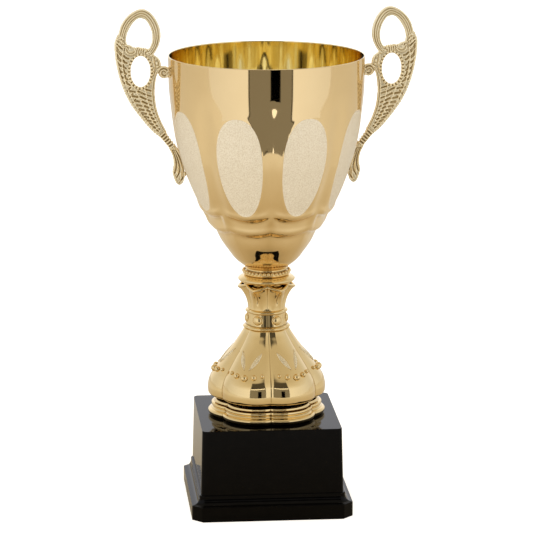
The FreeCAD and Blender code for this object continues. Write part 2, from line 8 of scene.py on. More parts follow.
import bmesh
import bpy
import numpy as np
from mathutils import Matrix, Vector


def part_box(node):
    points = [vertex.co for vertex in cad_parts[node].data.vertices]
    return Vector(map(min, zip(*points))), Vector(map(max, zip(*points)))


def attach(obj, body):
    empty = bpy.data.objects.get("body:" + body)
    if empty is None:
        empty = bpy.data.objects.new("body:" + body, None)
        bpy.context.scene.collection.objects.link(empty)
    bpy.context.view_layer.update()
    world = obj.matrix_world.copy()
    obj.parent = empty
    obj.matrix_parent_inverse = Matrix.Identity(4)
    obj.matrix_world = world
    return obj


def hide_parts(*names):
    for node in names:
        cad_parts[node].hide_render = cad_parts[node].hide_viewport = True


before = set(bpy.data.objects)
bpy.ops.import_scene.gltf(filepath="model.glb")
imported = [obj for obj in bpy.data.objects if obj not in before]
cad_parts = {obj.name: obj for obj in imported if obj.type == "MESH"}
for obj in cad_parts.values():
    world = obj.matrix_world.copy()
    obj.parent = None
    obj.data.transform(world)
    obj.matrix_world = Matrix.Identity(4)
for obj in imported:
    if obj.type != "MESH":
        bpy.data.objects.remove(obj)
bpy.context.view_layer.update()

MM = 0.001
BODY = "root"
LOBES = 6
PANELS = 8
PITCH = 360 / PANELS


def box_mm(node):
    """Lowest and highest corners of a CAD node, in millimetres."""
    low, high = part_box(node)
    return low / MM, high / MM


def heights_mm(node):
    """Lowest and highest Z of a CAD node, in millimetres."""
    low, high = box_mm(node)
    return low[2], high[2]


# ---------------------------------------------------------------- numbers and curves

def smooth(x, start=0, span=1):
    """0 up to start, 1 from start + span on, with a soft ramp between."""
    x = np.clip((x - start) / span, 0, 1)
    return x * x * (3 - 2 * x)


def between(x, start, rise, end, fall):
    """1 from start + rise to end, with a soft ramp up from start and down after end."""
    return smooth(x, start, rise) * (1 - smooth(x, end, fall))


def soft_ridge(x, middle, width):
    """1 at the middle, falling softly to 0 on both sides."""
    return np.exp(-((x - middle) / width) ** 2)


def hermite(t, low, high, flow_low, flow_high):
    """The cubic from low at t = 0 to high at t = 1 that leaves and arrives with the given flows."""
    rest = 1 - t
    return (low * (1 + 2 * t) * rest ** 2 + high * (3 - 2 * t) * t ** 2
            + flow_low * t * rest ** 2 - flow_high * rest * t ** 2)


def curve_through(points):
    """A smooth function through (x, y) points that doesn't overshoot between them."""
    xs, ys = np.array(points, float).T
    steps = np.diff(xs)
    slopes = np.diff(ys) / steps
    flow = np.zeros(len(xs))
    same = slopes[:-1] * slopes[1:] > 0
    flow[1:-1][same] = 2 * slopes[:-1][same] * slopes[1:][same] / (slopes[:-1] + slopes[1:])[same]
    flow[0], flow[-1] = slopes[0], slopes[-1]

    def curve(x):
        """The function's value at each x."""
        x = np.clip(np.asarray(x, float), xs[0], xs[-1])
        i = np.clip(np.searchsorted(xs, x) - 1, 0, len(steps) - 1)
        return hermite((x - xs[i]) / steps[i], ys[i], ys[i + 1], steps[i] * flow[i], steps[i] * flow[i + 1])

    return curve


def route(points, count):
    """Evenly spaced points and directions on a smooth line through given points."""
    points = np.array(points, float)
    gaps = np.linalg.norm(np.diff(points, axis=0), axis=1)
    at = np.concatenate([[0], np.cumsum(np.sqrt(gaps))])
    ends = np.vstack([2 * points[0] - points[1], points, 2 * points[-1] - points[-2]])
    marks = np.concatenate([[2 * at[0] - at[1]], at, [2 * at[-1] - at[-2]]])
    flow = (ends[2:] - ends[:-2]) / (marks[2:] - marks[:-2])[:, None]
    fine = np.linspace(at[0], at[-1], 40 * len(points))
    i = np.clip(np.searchsorted(at, fine, side="right") - 1, 0, len(points) - 2)
    step = (at[i + 1] - at[i])[:, None]
    share = (fine - at[i])[:, None] / step
    line = hermite(share, points[i], points[i + 1], flow[i] * step, flow[i + 1] * step)
    length = np.concatenate([[0], np.cumsum(np.linalg.norm(np.diff(line, axis=0), axis=1))])
    want = np.linspace(0, length[-1], count)
    spots = np.column_stack([np.interp(want, length, line[:, axis]) for axis in range(points.shape[1])])
    return spots, np.gradient(spots, axis=0)


def lobe_offset(turn):
    """Degrees from the nearest lobe's middle."""
    return (turn + 180 / LOBES) % (360 / LOBES) - 180 / LOBES


def lobe_shape(turn, share=0.4):
    """Reach of a six-lobed outline, 1 at the lobes' middles, with sharp valleys between."""
    off = np.radians(lobe_offset(turn))
    return share * np.cos(off) + np.sqrt((1 - share) ** 2 - (share * np.sin(off)) ** 2)


# ---------------------------------------------------------------- meshes

def grid_faces(rows, columns, close_rows=True):
    """Quads of a sheet whose columns close on themselves, and whose rows may."""
    row = np.arange(rows if close_rows else rows - 1)[:, None]
    column = np.arange(columns)[None, :]
    after = (row + 1) % rows
    beside = (column + 1) % columns
    quads = np.stack(np.broadcast_arrays(row * columns + column, row * columns + beside,
                                         after * columns + beside, after * columns + column), axis=-1)
    return quads.reshape(-1, 4)


def join(parts):
    """Several (points, faces) as one."""
    points, faces, start = [], [], 0
    for spots, quads in parts:
        points.append(np.asarray(spots, float))
        faces.extend((np.asarray(face) + start).tolist() for face in quads)
        start += len(spots)
    return np.vstack(points), faces


def new_piece(name, points, faces, material, slot, nodes=()):
    """A smooth-shaded closed mesh piece in place of CAD nodes, from points in millimetres."""
    mesh = bpy.data.meshes.new(name)
    faces = faces.tolist() if isinstance(faces, np.ndarray) else faces
    mesh.from_pydata((np.asarray(points) * MM).tolist(), [], faces)
    face_outward(mesh)
    mesh.polygons.foreach_set("use_smooth", np.ones(len(mesh.polygons), bool))
    mesh.update()
    piece = bpy.data.objects.new(name, mesh)
    bpy.context.scene.collection.objects.link(piece)
    dress(piece, material, nodes)
    return piece


def face_outward(mesh):
    """Turns every face of a closed mesh to look outward."""
    work = bmesh.new()
    work.from_mesh(mesh)
    bmesh.ops.recalc_face_normals(work, faces=work.faces)
    work.to_mesh(mesh)
    work.free()


def dress(piece, material, nodes=()):
    """Material, body, and the CAD nodes that a piece stands for, which it hides."""
    piece.data.materials.clear()
    piece.data.materials.append(material)
    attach(piece, BODY)
    if nodes:
        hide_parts(*nodes)


def turned(section, columns):
    """A closed ring solid: section(turns) gives radii and heights, one row per outline point."""
    turns = np.arange(columns) * 360 / columns
    radii, heights = section(turns)
    angle = np.radians(turns)[None, :]
    points = np.stack([radii * np.cos(angle), radii * np.sin(angle), heights], axis=-1)
    return points.reshape(-1, 3), grid_faces(radii.shape[0], columns)


def stack(*rows):
    """Rows of radii (or heights) for turned(), from numbers or arrays, as one table."""
    width = max(np.shape(row)[-1] for row in rows if np.ndim(row))
    return np.vstack([np.broadcast_to(row, (1, width)) if np.ndim(row) < 2 else row for row in rows])


def with_ends(rings, low, high):
    """A closed skin over rings of points, with a fan from each end ring to its own tip."""
    count, sides = rings.shape[:2]
    points = np.vstack([rings.reshape(-1, 3), low, high])
    faces = grid_faces(count, sides, close_rows=False).tolist()
    bottom, top, last = count * sides, count * sides + 1, (count - 1) * sides
    for i in range(sides):
        after = (i + 1) % sides
        faces.append([bottom, after, i])
        faces.append([top, last + i, last + after])
    return points, faces


def ball(middle, reach, around=14, up=9):
    """A closed ellipsoid with its own reach along X, Y and Z."""
    lift = np.linspace(-math.pi / 2, math.pi / 2, up + 2)[1:-1, None]
    turn = np.arange(around)[None, :] * 2 * math.pi / around
    rings = np.stack([np.cos(lift) * np.cos(turn), np.cos(lift) * np.sin(turn),
                      np.sin(lift) * np.ones_like(turn)], axis=-1)
    points, faces = with_ends(rings, (0, 0, -1), (0, 0, 1))
    return points * np.asarray(reach) + np.asarray(middle), faces


def capped(rings):
    """A closed skin over rings of points, with a flat fan at each end."""
    return with_ends(rings, rings[0].mean(0), rings[-1].mean(0))


def read_mesh(mesh):
    """A mesh's points in millimetres, and the two points that each of its edges joins."""
    spots = np.empty(len(mesh.vertices) * 3)
    mesh.vertices.foreach_get("co", spots)
    ends = np.empty(len(mesh.edges) * 2, int)
    mesh.edges.foreach_get("vertices", ends)
    return spots.reshape(-1, 3) / MM, ends.reshape(-1, 2)


def neighbour_mean(spots, ends):
    """For each point, the mean of the points that share an edge with it."""
    first, second = ends.T
    count = len(spots)
    total = np.stack([np.bincount(first, spots[second, axis], count)
                      + np.bincount(second, spots[first, axis], count) for axis in range(3)], axis=1)
    return total / np.maximum(np.bincount(ends.ravel(), minlength=count), 1)[:, None]


def store(mesh, name, values):
    """A number for each vertex, that a material can read by name."""
    layer = mesh.attributes.new(name, "FLOAT", "POINT")
    layer.data.foreach_set("value", np.asarray(values, np.float32))


def mark_relief(mesh, passes=3, depth=0.5):
    """Stores how far each vertex stands proud of its surroundings: 0.5 level, 1 proud by depth mm."""
    spots, ends = read_mesh(mesh)
    normals = np.empty(len(mesh.vertices) * 3)
    mesh.vertices.foreach_get("normal", normals)
    level = spots
    for _ in range(passes):
        level = neighbour_mean(level, ends)
    proud = ((spots - level) * normals.reshape(-1, 3)).sum(1)
    store(mesh, "relief", 0.5 + 0.5 * np.clip(proud / depth, -1, 1))


def soften(mesh, passes=2, share=0.45):
    """Rounds every edge of a casting a little, as plating does."""
    spots, ends = read_mesh(mesh)
    for _ in range(passes):
        spots = spots * (1 - share) + share * neighbour_mean(spots, ends)
    mesh.vertices.foreach_set("co", spots.ravel() * MM)
    mesh.update()


# ---------------------------------------------------------------- materials

def new_finish(name, **settings):
    """A Principled material with its plain settings, and its shader."""
    material = bpy.data.materials.new(name)
    material.use_nodes = True
    shader = material.node_tree.nodes["Principled BSDF"]
    for socket, value in settings.items():
        shader.inputs[socket.replace("_", " ")].default_value = value
    return material, shader


def add_node(owner, kind, inputs=(), **settings):
    """A node of a material or the world with its settings and inputs, each a value or an output."""
    made = owner.node_tree.nodes.new("ShaderNode" + kind)
    for name, value in settings.items():
        setattr(made, name, value)
    for name, value in dict(inputs).items():
        if isinstance(value, bpy.types.NodeSocket):
            owner.node_tree.links.new(value, made.inputs[name])
        else:
            made.inputs[name].default_value = value
    return made


def calc(owner, operation, first, second=0.0):
    """What a Math node makes of two numbers or outputs."""
    return add_node(owner, "Math", {0: first, 1: second}, operation=operation).outputs[0]


def noise(material, size, detail=4.0, stretch=None):
    """Noise whose lumps are about size millimetres, optionally stretched along an axis."""
    place = add_node(material, "TexCoord").outputs["Object"]
    if stretch:
        place = add_node(material, "Mapping", {"Vector": place, "Scale": stretch}).outputs["Vector"]
    wanted = {"Vector": place, "Scale": 1 / (size * MM), "Detail": detail}
    return add_node(material, "TexNoise", wanted).outputs["Fac"]


def ramp(owner, factor, low, high, start=0.0, end=1.0):
    """factor turned from start..end into low..high, numbers or colours, and held beyond."""
    if np.ndim(low):
        made = add_node(owner, "ValToRGB", {"Fac": factor})
        for stop, position, colour in zip(made.color_ramp.elements, (start, end), (low, high)):
            stop.position = position
            stop.color = (*colour, 1)
        return made.outputs["Color"]
    span = {"Value": factor, "From Min": start, "From Max": end, "To Min": low, "To Max": high}
    return add_node(owner, "MapRange", span).outputs["Result"]


def mixed(owner, factor, first, second):
    """first where factor is 0, second where it is 1: outputs, or a colour as the second."""
    colours = first.type == "RGBA"
    slots = (0, 6, 7) if colours else (0, 2, 3)
    second = (*second, 1) if isinstance(second, tuple) else second
    kind = "RGBA" if colours else "FLOAT"
    made = add_node(owner, "Mix", zip(slots, (factor, first, second)), data_type=kind)
    return made.outputs[2 if colours else 0]


def wire(material, shader, **sockets):
    """Links outputs to the shader's own sockets."""
    for name, output in sockets.items():
        material.node_tree.links.new(output, shader.inputs[name.replace("_", " ")])


def stored(material, name):
    """A number that the mesh stores for each vertex."""
    return add_node(material, "Attribute", attribute_name=name).outputs["Fac"]


def bumped(material, height, depth, below=None, strength=None):
    """A bump, depth millimetres for a step of 1 in height, over another and only where strength is 1."""
    wanted = {"Height": height, "Distance": depth * MM}
    if below is not None:
        wanted["Normal"] = below
        wanted["Strength"] = strength
    return add_node(material, "Bump", wanted).outputs["Normal"]


def spun_gold():
    """Polished gold sheet whose eight panels are etched to a pebbly matt cream; its inner wall is painted a
    paler gold as painted light.
    """
    material, shader = new_finish("spun_gold", Metallic=1.0)
    frost = stored(material, "frost")
    edge = ramp(material, frost, 0.0, 1.0, 0.47, 0.53)
    inside = stored(material, "inside")
    cloud = noise(material, 45)
    outer_tone = ramp(material, cloud, POLISHED_LOW, POLISHED_HIGH, 0.3, 0.7)
    streak = noise(material, 5.0, 3.0, (1, 1, 0.12))
    # painted light: the inner wall takes a paler, yellower copy of the gold
    tone = mixed(material, inside, outer_tone, ramp(material, streak, INSIDE_PAINTED_LIGHT_LOW, INSIDE_PAINTED_LIGHT_HIGH, 0.35, 0.65))
    grain = noise(material, 0.85, 2.0)
    cream = ramp(material, grain, FROST_LOW, FROST_HIGH, 0.35, 0.62)
    shine = ramp(material, noise(material, 18), 0.035, 0.075)
    satin = ramp(material, grain, 0.62, 0.46, 0.35, 0.65)
    ripple = bumped(material, noise(material, 30, 1.0), 0.02)
    pebbles = bumped(material, grain, 0.28, ripple, edge)
    wire(material, shader, Base_Color=mixed(material, edge, tone, cream), Normal=pebbles,
         Metallic=ramp(material, edge, 1.0, 0.3), Roughness=mixed(material, edge, shine, satin))
    return material


def cast_gold():
    """Plated castings: soft satin gold, dull with painted brown shade in the hollows and a painted
    highlight on the high edges.
    """
    material, shader = new_finish("cast_gold", Metallic=0.5)
    relief = stored(material, "relief")
    patina = noise(material, 3.0)
    # painted shade in the hollows and painted highlight on the proud edges, by relief
    body = ramp(material, relief, CAST_HOLLOW_SHADE, CAST_EDGE_HIGHLIGHT, 0.3, 0.62)
    worn_and_painted_light = mixed(material, ramp(material, patina, 0.0, 0.35, 0.45, 0.75), body, CAST_DULL)
    rough = ramp(material, relief, 0.45, 0.19, 0.3, 0.62)
    skin = bumped(material, noise(material, 0.7, 3.0), 0.05)
    wire(material, shader, Base_Color=worn_and_painted_light, Roughness=rough, Normal=skin)
    return material


def plated_gold():
    """Vacuum-plated mouldings: mirror bright, with painted shade in the creases and painted near-black
    shade in deep hollows.
    """
    material, shader = new_finish("plated_gold", Metallic=1.0)
    relief = stored(material, "relief")
    tone = ramp(material, noise(material, 20), PLATED_LOW, PLATED_HIGH, 0.3, 0.7)
    # painted shade: the plate turns brown where the surface lies sunk below its surroundings
    crease_shade = ramp(material, relief, 1.0, 0.0, 0.25, 0.47)
    shine = ramp(material, noise(material, 9), 0.045, 0.1)
    ripple = bumped(material, noise(material, 14, 2.0), 0.035)
    # painted shade: ambient occlusion darkens the plate towards near-black in hollows
    open_sky = add_node(material, "AmbientOcclusion", {"Distance": 9 * MM}, samples=8).outputs["AO"]
    shade = ramp(material, open_sky, 1.0, 0.0, 0.02, 0.16)
    plate = mixed(material, crease_shade, tone, PLATED_CREASE_SHADE)
    # painted shade: the foot's tuck under the bell is painted near-black too
    dark = calc(material, "MAXIMUM", shade, stored(material, "tuck_shade"))
    wire(material, shader, Base_Color=mixed(material, dark, plate, PLATED_PAINTED_SHADE), Roughness=shine,
         Normal=ripple)
    return material


def frosted_leaf():
    """The bell's leaves: matt plated gold, finely hatched so that it sparkles pale."""
    material, shader = new_finish("frosted_leaf", Metallic=0.85)
    speckle = noise(material, 0.55, 3.0)
    tone = ramp(material, speckle, LEAF_DULL, LEAF_BRIGHT, 0.36, 0.58)
    rough = ramp(material, speckle, 0.5, 0.3, 0.35, 0.65)
    wire(material, shader, Base_Color=tone, Roughness=rough, Normal=bumped(material, speckle, 0.22))
    return material


def gloss_black():
    """Black lacquered moulding with faint orange peel and a little dust in the gloss."""
    material, shader = new_finish("gloss_black", Specular_IOR_Level=0.10)
    haze = noise(material, 6, 6.0)
    tone = ramp(material, haze, (0.0006, 0.0005, 0.0005), (0.0015, 0.0012, 0.0011), 0.35, 0.7)
    dust = ramp(material, noise(material, 0.9, 2.0), 0.05, 0.12, 0.45, 0.8)
    peel = bumped(material, noise(material, 2.6, 2.0), 0.008)
    wire(material, shader, Base_Color=tone, Roughness=dust, Normal=peel)
    return material


def metal_finish(name, low, high, rough, scale=2.0, stretch=None):
    """Plain worked metal: two close tones, uneven polish and fine tool marks."""
    material, shader = new_finish(name, Metallic=1.0)
    marks = noise(material, scale, 5.0, stretch)
    tone = ramp(material, marks, low, high, 0.35, 0.65)
    shine = ramp(material, marks, rough, rough * 1.6, 0.3, 0.7)
    wire(material, shader, Base_Color=tone, Roughness=shine, Normal=bumped(material, marks, 0.02))
    return material


def matt_finish(name, low, high, rough, scale, depth):
    """Rubber, fibre and board: two close tones with a grain."""
    material, shader = new_finish(name)
    grain = noise(material, scale, 6.0)
    tone = ramp(material, grain, low, high, 0.3, 0.7)
    shine = ramp(material, grain, rough, rough - 0.15, 0.3, 0.7)
    wire(material, shader, Base_Color=tone, Roughness=shine, Normal=bumped(material, grain, depth))
    return material


POLISHED_LOW, POLISHED_HIGH = (0.84, 0.625, 0.32), (0.88, 0.665, 0.35)
# painted light: paler gold for the cup's inner wall
INSIDE_PAINTED_LIGHT_LOW, INSIDE_PAINTED_LIGHT_HIGH = (0.83, 0.715, 0.385), (0.95, 0.86, 0.57)
FROST_LOW, FROST_HIGH = (0.80, 0.68, 0.48), (0.95, 0.85, 0.65)
# painted shade for the castings' hollows and painted highlight for their high edges
CAST_HOLLOW_SHADE, CAST_EDGE_HIGHLIGHT = (0.36, 0.25, 0.10), (1.0, 0.88, 0.60)
CAST_DULL = (0.94, 0.79, 0.48)
PLATED_LOW, PLATED_HIGH = (0.83, 0.625, 0.30), (0.88, 0.68, 0.35)
# painted shade colours: a brown for creases and a near-black for occluded hollows and the foot's tuck
PLATED_CREASE_SHADE, PLATED_PAINTED_SHADE = (0.42, 0.28, 0.10), (0.012, 0.008, 0.003)
LEAF_DULL, LEAF_BRIGHT = (0.66, 0.50, 0.26), (0.98, 0.87, 0.60)

SHEET_GOLD = spun_gold()
CAST_GOLD = cast_gold()
PLATED_GOLD = plated_gold()
LEAF_GOLD = frosted_leaf()
BLACK = gloss_black()
NODE_FINISHES = {
    "handle_screws": metal_finish("screw_plate", (0.78, 0.60, 0.31), (0.86, 0.70, 0.42), 0.14),
    "handle_washers": metal_finish("washer_plate", (0.74, 0.57, 0.30), (0.84, 0.68, 0.41), 0.2),
    "acorn_nut": metal_finish("nickel_plate", (0.66, 0.64, 0.60), (0.78, 0.77, 0.74), 0.08),
    "cup_washer": metal_finish("washer_zinc", (0.60, 0.61, 0.62), (0.72, 0.73, 0.74), 0.22),
    "cushion_washer": matt_finish("red_fibre", (0.30, 0.06, 0.04), (0.46, 0.12, 0.08), 0.75, 0.8, 0.08),
    "tie_rod": metal_finish("rod_zinc", (0.58, 0.60, 0.62), (0.72, 0.73, 0.74), 0.2),
    "spacer_tube": metal_finish("tube_steel", (0.30, 0.30, 0.31), (0.42, 0.42, 0.43), 0.35, 1.5,
                                (1, 1, 0.1)),
    "base_weight": metal_finish("weight_steel", (0.24, 0.24, 0.25), (0.38, 0.38, 0.39), 0.4, 2.5),
    "plain_washer": metal_finish("flat_zinc", (0.62, 0.63, 0.64), (0.74, 0.75, 0.76), 0.2),
    "spring_washer": metal_finish("spring_zinc", (0.52, 0.53, 0.54), (0.66, 0.67, 0.68), 0.24),
    "hex_nut": metal_finish("nut_zinc", (0.60, 0.62, 0.63), (0.74, 0.75, 0.76), 0.2),
    "base_cover": matt_finish("black_board", (0.020, 0.018, 0.016), (0.052, 0.048, 0.042), 0.85, 0.6, 0.12),
}
for node_name, finish in NODE_FINISHES.items():
    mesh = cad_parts[node_name].data
    mesh.materials.clear()
    mesh.materials.append(finish)


# ---------------------------------------------------------------- the cup

RIM_RADIUS = 80.0
CUP_LOW, CUP_HIGH = heights_mm("bowl")
CUP_SHAPE = curve_through([
    (199, 17.4), (206, 26.0), (213, 31.4), (220, 36.6), (228, 41.6), (236, 46.6), (247.5, 53.3),
    (258, 58.8), (268, 63.0), (280, 67.3), (295, 72.0), (312, 75.5), (330, 78.0), (350, 79.5),
    (374, RIM_RADIUS)])
CUP_WALL, CUP_FLOOR = 1.0, 2.2
CUP_COLUMNS = 480
ROD_RADIUS = 3.4
BOSS_RADIUS = 11
PANEL_HALF_TURN = 15.8
PANEL_HALF_HEIGHT = 41.3
PANEL_MIDDLE = 292.0
PANEL_ROUNDNESS = 2.3
FROST_SHARPNESS = 4
PATTERN_TURN, PATTERN_DRIFT = 1.0, 2.4
FLUTE_DEPTH = 1.6
FLUTE_ROUNDNESS = 0.65
FLUTE_HALF_TURN = 10.5
FLUTE_SHOULDER, FLUTE_RISE = 316.0, 31.5
FLUTE_FOOT, FLUTE_FOOT_FADE = 246, 14
FLUTE_LINE, LINE_FOOT, LINE_FADE = 0.17, 300, 10
PANEL_BORDER = 0.1
LINE_WIDTH = 0.05
FOLD_SWELL, SWELL_MIDDLE, SWELL_WIDTH = 1.1, 2.2, 3.2
FOLD_STEP, STEP_WIDTH, STEP_FADE = 5.4, 2.0, 6.0
UPPER_FOLD, UPPER_SAG = 246.8, 4.5
LOWER_FOLD, LOWER_SAG = 232.8, 2.5
FOLDS_LOW, FOLDS_HIGH, PLAIN_LOW = 224, 256, 354


def struck(turn):
    """The die's own turn at a turn of the cup: the cup sits a little turned, its front panels closer."""
    return turn + PATTERN_TURN + PATTERN_DRIFT * np.sin(np.radians(turn + 90))


def panel_distance(turn, height):
    """1 on a panel's edge, less inside it."""
    off = (struck(turn) % PITCH) - PITCH / 2
    wide = np.abs(off / PANEL_HALF_TURN) ** PANEL_ROUNDNESS
    tall = np.abs((height - PANEL_MIDDLE) / PANEL_HALF_HEIGHT) ** PANEL_ROUNDNESS
    return (wide + tall) ** (1 / PANEL_ROUNDNESS)


def flute(turn, height):
    """Depth of the hollow between two panels, with a fine line round its arch and round the panels."""
    rho = panel_distance(turn, height)
    tall = np.abs((height - PANEL_MIDDLE) / PANEL_HALF_HEIGHT) ** PANEL_ROUNDNESS
    middle = ((PITCH / 2 / PANEL_HALF_TURN) ** PANEL_ROUNDNESS + tall) ** (1 / PANEL_ROUNDNESS)
    inward = np.clip((rho - 1) / np.maximum(middle - 1, 0.02), 0, 1)
    off = PITCH / 2 - np.abs((struck(turn) % PITCH) - PITCH / 2)
    above = np.maximum(height - FLUTE_SHOULDER, 0) / FLUTE_RISE
    arch = 1 - (off / FLUTE_HALF_TURN) ** 2 - above ** 2
    low_end = smooth(height, FLUTE_FOOT, FLUTE_FOOT_FADE)
    outline = FLUTE_LINE * soft_ridge(arch, LINE_WIDTH, LINE_WIDTH) * smooth(height, LINE_FOOT, LINE_FADE)
    border = PANEL_BORDER * soft_ridge(rho, 1 + LINE_WIDTH, LINE_WIDTH)
    hollow = (1 - FLUTE_ROUNDNESS) * (1 - (1 - inward) ** 2) + FLUTE_ROUNDNESS * smooth(inward)
    return FLUTE_DEPTH * hollow * smooth(arch, 0, 0.95) * low_end + outline - border


def fold(height, line, strength):
    """A pressed fold: a soft swell above its line and a sharp step in below it."""
    rise = height - line
    below = np.minimum(rise, 0)
    swell = FOLD_SWELL * soft_ridge(rise, SWELL_MIDDLE, SWELL_WIDTH)
    step = np.where(rise < 0, (1 - np.exp(below / STEP_WIDTH)) * np.exp(below / STEP_FADE), 0)
    return strength * (swell - FOLD_STEP * step)


def folds(turn, height):
    """Relief of the two rows of scalloped folds under the panels."""
    across = ((struck(turn) % PITCH) - PITCH / 2) / (PITCH / 2)
    upper = fold(height, UPPER_FOLD + UPPER_SAG * across ** 2, 1 - smooth(np.abs(across), 0.62, 0.36))
    lower = fold(height, LOWER_FOLD + LOWER_SAG * across ** 2, 1 - 0.25 * np.abs(across))
    return upper + lower


def cup_outside(turn, height):
    """Radius of the cup's outer face."""
    return CUP_SHAPE(height) - flute(turn, height) + folds(turn, height)


def cup_rows():
    """Heights of the outside's rows, closer together over the folds."""
    rows = [np.linspace(CUP_LOW, FOLDS_LOW, 16, endpoint=False)]
    rows.append(np.linspace(FOLDS_LOW, FOLDS_HIGH, 52, endpoint=False))
    rows.append(np.linspace(FOLDS_HIGH, PLAIN_LOW, 72, endpoint=False))
    rows.append(np.linspace(PLAIN_LOW, CUP_HIGH - 1.2, 9))
    rows.append([CUP_HIGH - 0.8, CUP_HIGH - 0.5])
    return np.concatenate(rows)


def cup_section(turns):
    """Outside, rolled rim, inside and bottom of the cup, from the rod's hole and round again."""
    heights = cup_rows()
    outside = cup_outside(turns[None, :], heights[:, None])
    inner_heights = np.concatenate([[CUP_HIGH - 0.5, CUP_HIGH - 0.8],
                                    np.linspace(CUP_HIGH - 1.2, PLAIN_LOW, 6),
                                    np.linspace(PLAIN_LOW - 6, CUP_LOW + 4, 38)])
    inside = cup_outside(turns[None, :], inner_heights[:, None]) - CUP_WALL - 0.15
    rim_radii = [RIM_RADIUS - 0.15, RIM_RADIUS - 0.55, RIM_RADIUS - 1.0]
    rim_heights = [CUP_HIGH - 0.15, CUP_HIGH, CUP_HIGH - 0.15]
    floor_radii = [CUP_SHAPE(CUP_LOW + 4) - 4, BOSS_RADIUS, ROD_RADIUS, ROD_RADIUS, BOSS_RADIUS]
    floor_heights = [CUP_LOW + CUP_FLOOR] * 3 + [CUP_LOW] * 2
    tall, inner_tall = (np.repeat(rows[:, None], len(turns), 1) for rows in (heights, inner_heights))
    return (stack(outside, *rim_radii, inside, *floor_radii),
            stack(tall, *rim_heights, inner_tall, *floor_heights))


def make_cup():
    """The spun cup with its frosted panels."""
    points, faces = turned(cup_section, CUP_COLUMNS)
    cup = new_piece("cup_skin", points, faces, SHEET_GOLD, "gold_sheet", ["bowl"])
    turns = np.degrees(np.arctan2(points[:, 1], points[:, 0]))
    reach = np.hypot(points[:, 0], points[:, 1])
    outer = reach > cup_outside(turns, points[:, 2]) - CUP_WALL / 2
    nearness = np.where(outer, 0.5 + (1 - panel_distance(turns, points[:, 2])) * FROST_SHARPNESS, 0.0)
    store(cup.data, "frost", np.clip(nearness, 0, 1))
    # the inner wall's mask, for the painted lighter gold inside
    store(cup.data, "inside", 1.0 - outer)


# ---------------------------------------------------------------- the moulded riser

WALL = 2.0
FOOT_LOW, FOOT_HIGH = heights_mm("foot")
BELL_HIGH, BAND_HIGH, CROWN_HIGH, COLLAR_HIGH = (
    heights_mm(node)[1] for node in ("bell", "waist_band", "crown", "collar"))
CROWN_TWIST = -2.5
RISER_COLUMNS = 480
TUCK_HEIGHT = 87.2
FOOT_SHAPE = curve_through([
    (FOOT_LOW, 46.5), (75.0, 47.4), (76.4, 48.4), (77.8, 48.6), (79.2, 47.6), (79.9, 45.8), (81.2, 44.7),
    (82.2, 45.2), (83.2, 45.8), (84.3, 45.7), (84.9, 45.0), (85.3, 43.6), (85.9, 43.0), (87.3, 42.3),
    (87.7, 37.5), (FOOT_HIGH, 36.0)])
BELL_SHAPE = curve_through([
    (FOOT_HIGH, 46.4), (92.0, 47.8), (93.6, 48.6), (98, 48.9), (102.8, 48.2), (106, 47.2), (109, 45.6),
    (112, 43.6), (113, 42.9), (118.2, 39.1), (123.3, 35.2), (126.8, 32.5), (130.2, 29.8), (133.6, 27.2),
    (137, 24.8), (140.5, 22.5), (143.9, 20.3), (BELL_HIGH, 18.6)])


def lobed_shell(shape, low, high, count, columns, lip=0.0, floor=4.0):
    """A hollow lobed moulding: outside up, top in to the rod's hole, inside down to the open edge."""
    def section(turns):
        """Radii and heights at each turn, from the outside's foot and round to the inside's foot."""
        lobes = lobe_shape(turns)[None, :]
        heights = np.linspace(low, high, count)
        inner = np.linspace(high - floor, low, count // 3)
        radii = stack(shape(heights)[:, None] * lobes, shape(high) * 0.8 * lobes, ROD_RADIUS, ROD_RADIUS,
                      (shape(inner)[:, None] - WALL - lip) * lobes)
        rows = np.concatenate([heights, [high, high, high - floor], inner])
        return radii, np.repeat(rows[:, None], len(turns), 1)

    return turned(section, columns)


def plated(name, parts, node, passes, depth):
    """A plated moulding made of parts, with the relief that the material reads to paint shade into its
    creases.
    """
    piece = new_piece(name, *join(parts), PLATED_GOLD, "gold_plated", [node])
    mark_relief(piece.data, passes, depth)
    return piece


def make_foot():
    """The stepped foot ring that the bell stands on, with painted near-black shade where it tucks in under
    the bell.
    """
    shell = lobed_shell(FOOT_SHAPE, FOOT_LOW, FOOT_HIGH, 84, RISER_COLUMNS)
    foot = plated("foot_ring", [shell], "foot", 6, 0.35)
    # marks the tuck under the bell for painted shade
    store(foot.data, "tuck_shade", smooth(shell[0][:, 2], TUCK_HEIGHT, 0.3))


def on_bell(turn, height, proud=0.0):
    """A point on the bell's outside, proud of it by some millimetres."""
    reach = BELL_SHAPE(height) * lobe_shape(turn) + proud
    angle = np.radians(turn)
    return np.stack(np.broadcast_arrays(reach * np.cos(angle), reach * np.sin(angle), height), axis=-1)


# each bead's turn from its lobe's middle, height and width
BELL_BEADS = ((-20, 115.0, 3.4), (-10.6, 113.9, 4.9), (0, 113.1, 6.0), (10.6, 113.9, 4.9), (20, 115.0, 3.4))


LEAF_ROWS, LEAF_COLUMNS = 46, 13
LEAF_FOOT, LEAF_RISE = 119.0, 12.6
LEAF_TURN, LEAF_LEAN = 3.2, 14.8
LEAF_SLANT, LEAF_SKEW = 0.72, 0.62
LEAF_HALF_WIDTH, LEAF_PROUD, LEAF_ROOT = 2.3, 1.15, 0.8
RIDGE_HEIGHT, RIDGE_ROWS = 0.3, 3.7


